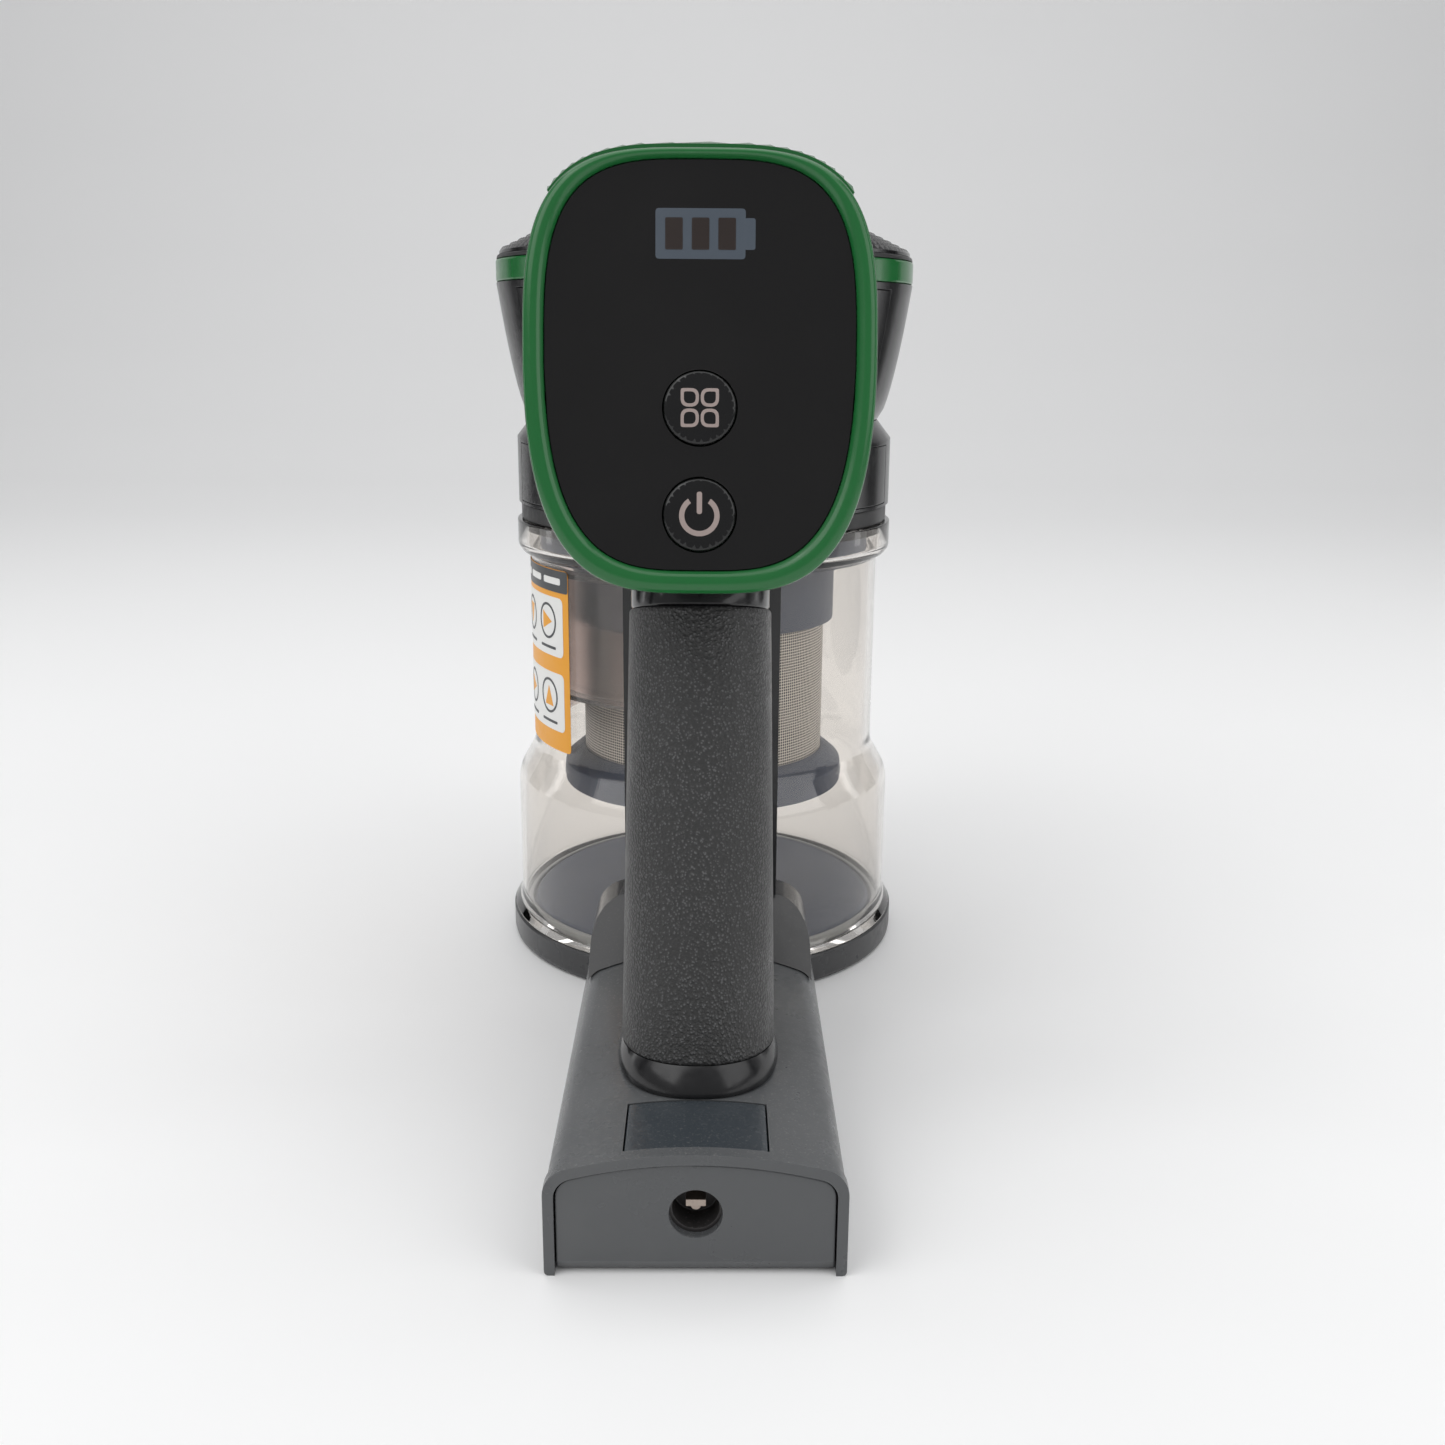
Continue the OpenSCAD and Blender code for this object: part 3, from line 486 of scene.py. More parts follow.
@dataclass(frozen=True)
class Stipple:
    """A spark-eroded matte plastic whose fine tips catch the light and carry a paler painted glint."""

    name: str
    colour: RGB
    glint: RGB
    roughness: float = 0.62
    scale: float = 1150.0
    depth: float = 0.00028

    def make(self) -> bpy.types.Material:
        """Build the material."""
        material, tree, shader = new_material(self.name)
        speckle = place_group(
            tree, "Speckle", Color=rgba(self.colour), Tip=rgba(self.glint), Scale=self.scale, Depth=self.depth
        )
        marks = place_group(tree, "Handling marks", Roughness=self.roughness, Amount=-0.12, Scale=22.0)
        tree.links.new(speckle.outputs["Color"], shader.inputs["Base Color"])
        tree.links.new(speckle.outputs["Normal"], shader.inputs["Normal"])
        tree.links.new(marks.outputs["Roughness"], shader.inputs["Roughness"])
        return material


@dataclass(frozen=True)
class Metal:
    """A brushed or plated metal with fine lines and worn edges."""

    name: str
    colour: RGB
    roughness: float = 0.3
    lines: float = 0.15

    def make(self) -> bpy.types.Material:
        """Build the material."""
        material, tree, shader = new_material(self.name)
        bright = tuple(min(1.0, 1.25 * c) for c in self.colour)
        worn = place_group(tree, "Edge wear", Color=rgba(self.colour), Worn=rgba(bright), Amount=0.8)
        scratches = place_group(tree, "Fine scratches", Strength=self.lines, Depth=0.0001)
        marks = place_group(tree, "Handling marks", Roughness=self.roughness, Amount=0.12)
        tree.links.new(worn.outputs["Color"], shader.inputs["Base Color"])
        tree.links.new(marks.outputs["Roughness"], shader.inputs["Roughness"])
        tree.links.new(scratches.outputs["Normal"], shader.inputs["Normal"])
        shader.inputs["Metallic"].default_value = 1.0
        return material


@dataclass(frozen=True)
class ClearPlastic:
    """A clear moulded polycarbonate with faint scratches, whose shadow lets light through."""

    name: str
    colour: RGB = (0.90, 0.872, 0.838)
    roughness: float = 0.015
    shadow: float = 0.80
    refraction: float = 1.45

    def make(self) -> bpy.types.Material:
        """Build the material."""
        material, tree, shader = new_material(self.name)
        marks = place_group(tree, "Handling marks", Roughness=self.roughness, Amount=0.03, Scale=14.0)
        scratches = place_group(tree, "Fine scratches", Strength=0.02, Depth=0.00002, Along=500.0)
        shader.inputs["Base Color"].default_value = rgba(self.colour)
        shader.inputs["Transmission Weight"].default_value = 1.0
        shader.inputs["IOR"].default_value = self.refraction
        tree.links.new(marks.outputs["Roughness"], shader.inputs["Roughness"])
        tree.links.new(scratches.outputs["Normal"], shader.inputs["Normal"])
        through = tree.nodes.new("ShaderNodeBsdfTransparent")
        through.inputs["Color"].default_value = (self.shadow, self.shadow, self.shadow, 1.0)
        light = tree.nodes.new("ShaderNodeLightPath")
        mix = tree.nodes.new("ShaderNodeMixShader")
        tree.links.new(light.outputs["Is Shadow Ray"], mix.inputs["Fac"])
        tree.links.new(shader.outputs["BSDF"], mix.inputs[1])
        tree.links.new(through.outputs["BSDF"], mix.inputs[2])
        tree.links.new(mix.outputs["Shader"], tree.nodes["Material Output"].inputs["Surface"])
        return material


@dataclass(frozen=True)
class EtchedScreen:
    """A thin steel screen with rows of tiny etched holes, wrapped round an upright axis."""

    name: str
    colour: RGB
    hole: RGB
    radius: float
    pitch: float = 0.95 * MM

    def make(self) -> bpy.types.Material:
        """Build the material, with its holes laid out by angle and height."""
        material, tree, shader = new_material(self.name)
        place = tree.nodes.new("ShaderNodeTexCoord")
        split = tree.nodes.new("ShaderNodeSeparateXYZ")
        tree.links.new(place.outputs["Object"], split.inputs["Vector"])
        angle = Groups._math(tree, "ARCTAN2", split.outputs["Y"], split.outputs["X"])
        count = round(2 * math.pi * self.radius / self.pitch)
        around = Groups._math(tree, "MULTIPLY", angle, count / 2)
        up = Groups._math(tree, "MULTIPLY", split.outputs["Z"], math.pi / self.pitch)
        waves = [
            Groups._math(tree, "ABSOLUTE", Groups._math(tree, "SINE", value)) for value in (around, up)
        ]
        height = Groups._math(tree, "MULTIPLY", *waves)
        mask = Groups._remap(tree, height, 0.22, 0.5)
        pierced = Groups._blend(tree, mask, rgba(self.colour), rgba(self.hole))
        dusty = place_group(tree, "Settled dust", Color=pierced, Amount=0.6)
        tree.links.new(dusty.outputs["Color"], shader.inputs["Base Color"])
        bump = Groups._bump(tree, mask, 0.7, 0.2 * MM)
        bump.invert = True
        tree.links.new(bump.outputs["Normal"], shader.inputs["Normal"])
        metal = Groups._math(tree, "MULTIPLY_ADD", mask, -0.35, 0.35)
        tree.links.new(metal, shader.inputs["Metallic"])
        shader.inputs["Roughness"].default_value = 0.42
        return material


@dataclass(frozen=True)
class Fibre:
    """A pale felt or pleated paper with matted fibres."""

    name: str
    colour: RGB
    soiled: RGB
    scale: float = 700.0

    def make(self) -> bpy.types.Material:
        """Build the material."""
        material, tree, shader = new_material(self.name)
        noise = Groups._noise(tree, self.scale, 5.0, 0.75)
        stain = Groups._noise(tree, 30.0, 3.0)
        mask = Groups._remap(tree, stain.outputs["Fac"], 0.45, 0.7)
        stained = Groups._blend(tree, mask, rgba(self.colour), rgba(self.soiled))
        bump = Groups._bump(tree, noise.outputs["Fac"], 0.5, 0.2 * MM)
        tree.links.new(stained, shader.inputs["Base Color"])
        tree.links.new(bump.outputs["Normal"], shader.inputs["Normal"])
        shader.inputs["Roughness"].default_value = 0.85
        return material


class Finishes:
    """Every finish of the object, made on first use."""

    TABLE: dict[str, object] = {
        finish.name: finish
        for finish in (
            Plastic("housing_gloss", (0.012, 0.012, 0.013), 0.19, 0.06, 0.02, 700, 0.10, 0.04),
            Plastic("cover_gloss", (0.012, 0.012, 0.013), 0.19, 0.06, 0.02, 700, 0.10, 0.04),
            Plastic("green_gloss", (0.010, 0.130, 0.030), 0.16, 0.06, 0.04, 900, 0.08, 0.03),
            Plastic("black_gloss", (0.010, 0.010, 0.011), 0.14, 0.08, 0.03, 700, 0.12, 0.06),
            Plastic("dock_gloss", (0.055, 0.055, 0.056), 0.14, 0.08, 0.03, 700, 0.12, 0.06),
            Plastic("display_black", (0.0040, 0.0036, 0.0038), 0.05, 0.05, 0.01, 500, 0.05, 0.03),
            Plastic("button_black", (0.0035, 0.0035, 0.004), 0.08, 0.08, 0.02, 500, 0.10, 0.04),
            Plastic("plate_gloss", (0.038, 0.046, 0.054), 0.18, 0.08, 0.05, 900, 0.15, 0.12),
            Plastic("ring_black", (0.012, 0.012, 0.013), 0.34, 0.10, 0.15, 1200, 0.20, 0.15),
            Plastic("pack_satin", (0.090, 0.094, 0.098), 0.23, 0.10, 0.20, 1700, 0.20, 0.18),
            Plastic("lid_grey", (0.045, 0.046, 0.048), 0.26, 0.10, 0.06, 900, 0.20, 0.12),
            Plastic("blue_grey", (0.064, 0.079, 0.120), 0.40, 0.08, 0.08, 1300, 0.15, 0.08),
            Plastic("seal_pale", (0.42, 0.43, 0.43), 0.60, 0.08, 0.20, 1300, 0.20, 0.40),
            Plastic("inlet_black", (0.020, 0.022, 0.024), 0.40, 0.10, 0.14, 1300, 0.35, 0.20),
            Plastic("jack_black", (0.040, 0.037, 0.037), 0.40, 0.05, 0.10, 1300, 0.20, 0.20),
            Plastic("inner_plastic", (0.075, 0.080, 0.085), 0.50, 0.08, 0.15, 1300, 0.25, 0.30),
            Plastic("board_green", (0.012, 0.085, 0.035), 0.35, 0.08, 0.10, 900, 0.30, 0.20),
            Plastic("cell_wrap", (0.03, 0.17, 0.12), 0.25, 0.08, 0.03, 500, 0.30, 0.10, 0.4),
            Plastic("rubber_black", (0.012, 0.012, 0.013), 0.70, 0.06, 0.20, 1500, 0.20, 0.40),
            Plastic("wire_red", (0.23, 0.012, 0.008), 0.40, 0.06, 0.06, 900, 0.20, 0.10),
            Plastic("label_orange", (0.86, 0.365, 0.012), 0.34, 0.08, 0.04, 900, 0.10, 0.03),
            Plastic("label_white", (0.84, 0.84, 0.82), 0.34, 0.10, 0.04, 900, 0.20, 0.05),
            Plastic("label_dark", (0.045, 0.05, 0.055), 0.34, 0.10, 0.04, 900, 0.20, 0.10),
            Plastic("symbol_rose", (0.36, 0.29, 0.27), 0.40, 0.05, 0.03, 900, 0.10, 0.05),
            Plastic("symbol_slate", (0.070, 0.088, 0.112), 0.40, 0.05, 0.03, 900, 0.10, 0.05),
            Plastic("symbol_brown", (0.020, 0.012, 0.010), 0.40, 0.05, 0.03, 900, 0.10, 0.05),
            # The grip's second colour is a painted glint on the stipple's tips.
            Stipple("grip_stipple", (0.026, 0.026, 0.026), (0.095, 0.096, 0.098), 0.46, 1300.0, 0.00032),
            Metal("steel", (0.56, 0.56, 0.56), 0.32),
            Metal("alloy", (0.70, 0.71, 0.72), 0.28),
            Metal("gold", (0.80, 0.52, 0.16), 0.22, 0.05),
            Metal("contact_rose", (0.46, 0.39, 0.34), 0.42, 0.05),
            ClearPlastic("cup_clear"),
            ClearPlastic("guide_smoke", (0.95, 0.83, 0.80), 0.22, 0.6),
            EtchedScreen("mesh_steel", (0.86, 0.80, 0.72), (0.06, 0.05, 0.042), 42 * MM),
            Fibre("filter_paper", (0.78, 0.78, 0.74), (0.45, 0.42, 0.36)),
            Fibre("filter_felt", (0.70, 0.70, 0.67), (0.42, 0.40, 0.36), 500.0),
        )
    }
    _made: dict[str, bpy.types.Material] = {}

    @classmethod
    def get(cls, name: str) -> bpy.types.Material:
        """Return a finish's material by name."""
        if name not in cls._made:
            cls._made[name] = cls.TABLE[name].make()
        return cls._made[name]


# ---------------------------------------------------------------- modelling helpers


def only(obj: bpy.types.Object) -> None:
    """Select one object alone and make it active."""
    bpy.ops.object.select_all(action="DESELECT")
    obj.select_set(True)
    bpy.context.view_layer.objects.active = obj


def pick_faces(obj: bpy.types.Object, test: Callable[[Vector, Vector], bool]) -> None:
    """Select the faces of the object in edit mode that pass a test.

    Args:
        obj: The object, in edit mode.
        test: Says whether a face with this centre and normal is wanted.
    """
    mesh = bmesh.from_edit_mesh(obj.data)
    for face in mesh.faces:
        face.select_set(False)
    for face in mesh.faces:
        if test(face.calc_center_median(), face.normal):
            face.select_set(True)
    bmesh.update_edit_mesh(obj.data)


def add_modifier(obj: bpy.types.Object, kind: str, **values: object) -> None:
    """Add a modifier, set its values and apply it.

    Args:
        obj: The object.
        kind: The modifier's type.
        **values: Its properties.
    """
    only(obj)
    modifier = obj.modifiers.new(kind.lower(), kind)
    for key, value in values.items():
        setattr(modifier, key, value)
    bpy.ops.object.modifier_apply(modifier=modifier.name)


def finish_piece(
    obj: bpy.types.Object, name: str, body: Body, finish: str, replaces: Iterable[str] = ()
) -> bpy.types.Object:
    """Name, smooth, dress and hand over a finished piece.

    Args:
        obj: The piece.
        name: Its name.
        body: The body it rides on.
        finish: The finish it wears.
        replaces: CAD nodes that it stands for.

    Returns:
        The piece.
    """
    only(obj)
    obj.name = name
    obj.data.name = name
    bpy.ops.object.shade_smooth_by_angle(angle=SMOOTH_ANGLE)
    obj.data.materials.clear()
    obj.data.materials.append(Finishes.get(finish))
    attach(obj, body.value)
    nodes = list(replaces)
    if nodes:
        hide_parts(*nodes)
    LOG.info("%s rides on %s, %d faces", name, body.value, len(obj.data.polygons))
    return obj


def dress_sheet(
    columns: int, rows: int, place: Place, closed: bool = False, thickness: float = 0.0
) -> bpy.types.Object:
    """Shape a grid into a sheet, and give it a wall.

    Args:
        columns: Faces across.
        rows: Faces along.
        place: Gives a point for each share, 0 to 1, across and along.
        closed: Whether the last column meets the first.
        thickness: The wall's thickness, laid against the normals, or 0 for none.

    Returns:
        The object, at the origin.
    """
    bpy.ops.object.select_all(action="DESELECT")
    bpy.ops.mesh.primitive_grid_add(x_subdivisions=columns, y_subdivisions=rows, size=1)
    obj = bpy.context.object
    for vertex in obj.data.vertices:
        across = round((vertex.co.x + 0.5) * columns) / columns
        along = round((vertex.co.y + 0.5) * rows) / rows
        vertex.co = place(across, along)
    bpy.ops.object.mode_set(mode="EDIT")
    bpy.ops.mesh.select_all(action="SELECT")
    if closed:
        bpy.ops.mesh.remove_doubles(threshold=1e-6)
    bpy.ops.object.mode_set(mode="OBJECT")
    if thickness:
        add_modifier(obj, "SOLIDIFY", thickness=thickness, offset=-1.0, use_even_offset=True)
    return obj


def spin_profile(points: Sequence[tuple[float, float]], steps: int) -> bpy.types.Object:
    """Spin a closed profile round the upright axis.

    Args:
        points: Radius and height of each corner, in order.
        steps: How many faces go round.

    Returns:
        The closed, outward-facing object at the origin.
    """
    bpy.ops.object.select_all(action="DESELECT")
    bpy.ops.mesh.primitive_plane_add(size=0.01, location=(0, 0, 0))
    obj = bpy.context.object
    bpy.ops.object.mode_set(mode="EDIT")
    bpy.ops.mesh.select_all(action="SELECT")
    bpy.ops.mesh.merge(type="CENTER")
    bpy.ops.transform.translate(value=(points[0][0], 0, points[0][1]))
    for before, after in zip(points, list(points[1:]) + [points[0]]):
        step = (after[0] - before[0], 0, after[1] - before[1])
        bpy.ops.mesh.extrude_vertices_move(TRANSFORM_OT_translate={"value": step})
    bpy.ops.mesh.select_all(action="SELECT")
    bpy.ops.mesh.spin(steps=steps, angle=2 * math.pi, center=(0, 0, 0), axis=(0, 0, 1))
    bpy.ops.mesh.select_all(action="SELECT")
    bpy.ops.mesh.remove_doubles(threshold=MERGE_DISTANCE)
    bpy.ops.mesh.normals_make_consistent(inside=False)
    bpy.ops.object.mode_set(mode="OBJECT")
    return obj


def round_corner(
    corner: tuple[float, float], before: tuple[float, float], after: tuple[float, float], radius: float
) -> list[tuple[float, float]]:
    """Round one corner of a profile.

    Args:
        corner: The corner.
        before: The point before it.
        after: The point after it.
        radius: How far from the corner the rounding starts.

    Returns:
        Points along the rounding.
    """
    centre, start, end = Vector(corner), Vector(before), Vector(after)
    start = centre + (start - centre).normalized() * radius
    end = centre + (end - centre).normalized() * radius
    steps = 5
    shares = [i / steps for i in range(steps + 1)]
    return [tuple(start * (1 - t) ** 2 + centre * 2 * t * (1 - t) + end * t * t) for t in shares]


def rounded_profile(
    points: Sequence[tuple[float, float]], radii: Sequence[float]
) -> list[tuple[float, float]]:
    """Round the corners of a closed profile, each by its own radius.

    Args:
        points: The profile's corners.
        radii: The rounding at each corner, 0 for a sharp one.

    Returns:
        The rounded profile.
    """
    shaped: list[tuple[float, float]] = []
    for i, (point, radius) in enumerate(zip(points, radii)):
        if radius:
            shaped += round_corner(point, points[i - 1], points[(i + 1) % len(points)], radius)
        else:
            shaped.append(point)
    return shaped


def soften(frame: dict, node: str, body: Body, finish: str, bevel: float) -> None:
    """Replace a CAD node by a smooth copy of it with rounded edges.

    Args:
        frame: The loaded frame.
        node: The CAD node.
        body: The body it belongs to.
        finish: The finish it wears.
        bevel: Width of the rounding, or 0 for none.
    """
    source = frame["nodes"][node]
    bpy.ops.object.select_all(action="DESELECT")
    piece = source.copy()
    piece.data = source.data.copy()
    piece.parent = None
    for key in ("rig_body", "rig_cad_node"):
        if key in piece:
            del piece[key]
    bpy.context.scene.collection.objects.link(piece)
    only(piece)
    bpy.ops.object.mode_set(mode="EDIT")
    bpy.ops.mesh.select_all(action="SELECT")
    bpy.ops.mesh.remove_doubles(threshold=MERGE_DISTANCE)
    if bevel:
        bpy.ops.mesh.dissolve_limited(angle_limit=FLAT_ANGLE)
    bpy.ops.object.mode_set(mode="OBJECT")
    if bevel:
        add_modifier(
            piece,
            "BEVEL",
            width=bevel,
            segments=2,
            limit_method="ANGLE",
            angle_limit=BEVEL_ANGLE,
            use_clamp_overlap=True,
            harden_normals=False,
        )
    slot = next(s["material_slot"] for s in frame["record"]["subparts"] if s["node"] == node)
    finish_piece(piece, f"{node}_skin", body, finish, [node])
    add_modifier(piece, "WEIGHTED_NORMAL", keep_sharp=True)


# ---------------------------------------------------------------- sub-assemblies


@dataclass
class Assembly:
    """A sub-assembly: it holds its sizes, builds its meshes and dresses them."""

    frame: dict

    def soften_all(self, body: Body, table: Iterable[tuple[str, str, float]]) -> None:
        """Replace several CAD nodes by smooth copies.

        Args:
            body: The body they belong to.
            table: Node, finish and edge rounding of each, in millimetres.
        """
        for node, finish, bevel in table:
            soften(self.frame, node, body, finish, bevel * MM)


@dataclass
class MotorHead(Assembly):
    """The filter housing, the flared motor housing and the bands round its top."""

    def build(self) -> None:
        """Round the housings' edges and dress them."""
        self.soften_all(
            Body.MAIN,
            [
                ("filter_housing", "housing_gloss", 0.5),
                ("housing_ring", "ring_black", 0.5),
                ("housing_rear_cover", "cover_gloss", 0.2),
                ("motor_housing", "housing_gloss", 0.25),
                ("motor_rear_cover", "cover_gloss", 0.2),
                ("accent_band", "green_gloss", 0.7),
                ("cap_seat", "ring_black", 0.3),
            ],
        )


@dataclass
class FacetedCap(Assembly):
    """The dished cap, whose slope is cut into rings of small pyramids."""

    rim_r: float = 67.2 * MM
    shoulder_r: float = 54 * MM
    crown_r: float = 34 * MM
    rim_z: float = 233.4 * MM
    shoulder_z: float = 240.6 * MM
    crown_z: float = 248.4 * MM
    top_z: float = 251.4 * MM
    wall: float = 2.6 * MM
    around: int = 132
    lower_rows: int = 5
    upper_rows: int = 7
    peak: float = 0.75 * MM

    def profile(self) -> list[tuple[float, float]]:
        """Return the cap's closed profile, with a corner at each row of facets."""
        lower = [
            (
                self.rim_r + (self.shoulder_r - self.rim_r) * i / self.lower_rows,
                self.rim_z + 0.9 * MM + (self.shoulder_z - self.rim_z - 0.9 * MM) * i / self.lower_rows,
            )
            for i in range(self.lower_rows)
        ]
        upper = [
            (
                self.shoulder_r + (self.crown_r - self.shoulder_r) * i / self.upper_rows,
                self.shoulder_z + (self.crown_z - self.shoulder_z) * i / self.upper_rows,
            )
            for i in range(self.upper_rows + 1)
        ]
        top = [
            (self.crown_r - 0.8 * MM, self.crown_z - 0.5 * MM),
            (self.crown_r - 1.8 * MM, self.crown_z + 0.2 * MM),
            (self.crown_r * 0.5, self.top_z - 0.8 * MM),
            (0.4 * MM, self.top_z),
            (0.4 * MM, self.top_z - self.wall),
            (self.crown_r, self.crown_z - self.wall),
            (self.shoulder_r, self.shoulder_z - self.wall),
            (self.rim_r - 4 * MM, self.rim_z),
            (self.rim_r, self.rim_z),
        ]
        return lower + upper + top

    def build(self) -> None:
        """Spin the cap and raise a pyramid on each facet of its slope."""
        cap = spin_profile(self.profile(), self.around)
        only(cap)
        bpy.ops.object.mode_set(mode="EDIT")
        slope_low, slope_high = self.rim_z + 0.95 * MM, self.crown_z - 0.2 * MM

        def on_slope(centre: Vector, normal: Vector) -> bool:
            """Say whether a face belongs to the faceted slope."""
            radius = math.hypot(centre.x, centre.y)
            outside = self.crown_r < radius < self.rim_r
            return outside and slope_low < centre.z < slope_high + 1 * MM and normal.z > 0.5

        pick_faces(cap, on_slope)
        bpy.ops.mesh.poke(offset=self.peak, use_relative_offset=False)
        bpy.ops.object.mode_set(mode="OBJECT")
        finish_piece(cap, "cap_faceted", Body.CAP, "black_gloss", ["top_cap"])


@dataclass
class DisplayHead(Assembly):
    """The pod that carries the display: rim, lens, cover with small facets, icons and buttons."""

    face_y: float = -167.6 * MM
    face_z: float = 200.6 * MM
    tilt: float = math.radians(8)
    squareness: float = 3.5
    half_w: float = 39.8 * MM
    half_h: float = 49.4 * MM
    rim_w: float = 4.7 * MM
    rim_h: float = 4.1 * MM
    lens_up: float = 1.0 * MM
    rim_rise: float = 2.2 * MM
    rim_back: float = 2.0 * MM
    rim_drop: float = 0.9 * MM
    sections: tuple[tuple[float, float, float, float], ...] = (
        (-90, 27.2, 30.2, 7.2),
        (-78, 27.5, 32, 6),
        (-60, 29, 37, 3.5),
        (-44, 32.5, 42, 1.2),
        (-28, 36.9, 46.6, 0.4),
        (-14, 39, 48.5, 0),
        (-2.2, 39, 48.5, 0),
    )
    lifts: tuple[float, ...] = (3.4, 3.2, 2.4, 2.0, 1.6, 1.4, 1.2)
    head_end: tuple[float, float, float, float] = (-112, 27.4, 28.4, 9.5)
    head_gap: float = 0.5
    end_depth: float = -98.0
    cover_from: float = 42.0
    cover_to: float = 138.0
    facet: float = 0.95 * MM
    icon_v: float = 30.2 * MM
    mode_v: float = -7.8 * MM
    power_v: float = -31.6 * MM

    def on_face(self, across: float, up: float, out: float) -> Vector:
        """Return a point given on the face's own axes.

        Args:
            across: Distance to the right.
            up: Distance up the face.
            out: Distance towards the user.

        Returns:
            The point in the object's frame.
        """
        s, c = math.sin(self.tilt), math.cos(self.tilt)
        return Vector((across, self.face_y + up * s - out * c, self.face_z + up * c + out * s))

    @property
    def normal(self) -> Vector:
        """Return the face's outward direction."""
        return Vector((0, -math.cos(self.tilt), math.sin(self.tilt)))

    def section_at(self, depth: float) -> tuple[float, float, float, float]:
        """Return half width, half height, rise and cover lift at a depth, in millimetres."""
        rows = self.sections
        depth = min(max(depth, rows[0][0]), rows[-1][0])
        for i in range(len(rows) - 1):
            if depth <= rows[i + 1][0]:
                share = (depth - rows[i][0]) / (rows[i + 1][0] - rows[i][0])
                low, high = (*rows[i][1:], self.lifts[i]), (*rows[i + 1][1:], self.lifts[i + 1])
                return tuple(a + (b - a) * share for a, b in zip(low, high))
        return (*rows[-1][1:], self.lifts[-1])

    def outline(self, angle: float, half_w: float, half_h: float) -> tuple[float, float]:
        """Return a point of the head's outline, which narrows towards the bottom.

        Args:
            angle: Angle round the outline, in degrees.
            half_w: Half its width.
            half_h: Half its height.

        Returns:
            The place across and up the face.
        """
        cosine, sine = math.cos(math.radians(angle)), math.sin(math.radians(angle))
        u = math.copysign(abs(cosine) ** (2 / self.squareness), cosine)
        v = math.copysign(abs(sine) ** (2 / self.squareness), sine)
        return half_w * u * (1 - 0.12 * max(0.0, -v) ** 1.5), half_h * v

    @staticmethod
    def head_radius(z: float) -> float:
        """Return the motor head's radius at a height, both in millimetres."""
        if z <= 175.8:
            return 63.0
        if z <= 182.0:
            return 63.0 - 4.7 * (z - 175.8) / 6.2
        return 58.3 + 10.1 * min(1.0, (z - 182.0) / 42.7) ** 0.62

    def cover_point(self, angle: float, depth: float, lift: float) -> Vector:
        """Return a point of the cover over the pod's crown.

        Args:
            angle: Angle round the section, in degrees.
            depth: Place along the pod, negative behind the face, in millimetres.
            lift: Share of the cover's height over the pod.

        Returns:
            The point in the object's frame.
        """
        first = self.sections[0][0]
        half_w, half_h, rise, full = self.section_at(depth)
        grow = 0.4 + full * lift
        u, v = self.outline(angle, half_w + grow, half_h + grow)
        point = self.on_face(u * MM, (v + rise) * MM, max(depth, first) * MM)
        if depth >= first:
            return point
        deep, half_w, half_h, rise = self.head_end
        u, v = self.outline(angle, half_w + 2 * lift, half_h + 2 * lift)
        end = self.on_face(u * MM, (v + rise) * MM, deep * MM)
        radius = self.head_radius(end.z / MM) + self.head_gap
        end.y = -math.sqrt(radius * radius - u * u) * MM
        return point.lerp(end, (first - depth) / (first - self.end_depth))

    def cover(self) -> None:
        """Build the cover: a closed sheet whose crown is cut into small pyramids."""
        columns, rows = 20, 20
        front, back = -2.4, self.end_depth
        edge = 2

        def place(across: float, along: float) -> Vector:
            """Lay the sheet over the crown, with its border turned down."""
            i, j = round(across * (columns + edge)), round(along * (rows + edge))
            border = i in (0, columns + edge) or j in (0, rows + edge)
            stagger = 0.5 if j % 2 and 1 < i <= columns else 0.0
            share = min(max(i - 1 + stagger, 0), columns) / columns
            angle = self.cover_from + (self.cover_to - self.cover_from) * share
            reach = min(max(j - 1, 0), rows) / rows
            return self.cover_point(angle, front + (back - front) * reach, 0.02 if border else 1.0)

        obj = dress_sheet(columns + edge, rows + edge, place)
        only(obj)
        bpy.ops.object.mode_set(mode="EDIT")
        bpy.ops.mesh.select_all(action="SELECT")
        bpy.ops.mesh.normals_make_consistent(inside=False)
        first = bmesh.from_edit_mesh(obj.data)
        first.faces.ensure_lookup_table()
        if sum(face.normal.z for face in first.faces) < 0:
            bpy.ops.mesh.flip_normals()
        pick_faces(obj, lambda centre, normal: normal.z > 0.15 and centre.y > self.face_y)
        bpy.ops.mesh.poke(offset=self.facet, use_relative_offset=False)
        bpy.ops.object.mode_set(mode="OBJECT")
        add_modifier(obj, "SOLIDIFY", thickness=0.35 * MM, offset=-1.0)
        finish_piece(obj, "top_cover_faceted", Body.MAIN, "green_gloss", ["top_cover"])

    def rim(self) -> None:
        """Build the rounded rim between the head's outline and the lens."""
        columns, arc = 192, 14

        def place(across: float, along: float) -> Vector:
            """Sweep the rim's section round the outline."""
            angle = 360 * across
            outer = self.outline(angle, self.half_w, self.half_h)
            inner = self.outline(angle, self.half_w - self.rim_w, self.half_h - self.rim_h)
            drop = self.rim_drop * max(0.0, outer[1] / self.half_h) ** 4
            step = round(along * (arc + 2))
            if step in (0, arc + 2):
                share, out = 0.0, -self.rim_back
            elif step == arc + 1:
                share, out = 1.0, -self.rim_back
            else:
                turn = math.pi * (step - 1) / (arc - 1)
                share, out = (1 - math.cos(turn)) / 2, self.rim_rise * math.sin(turn)
            u = outer[0] + (inner[0] - outer[0]) * share
            v = outer[1] - drop + (inner[1] + self.lens_up - outer[1] + drop) * share
            return self.on_face(u, v, out)

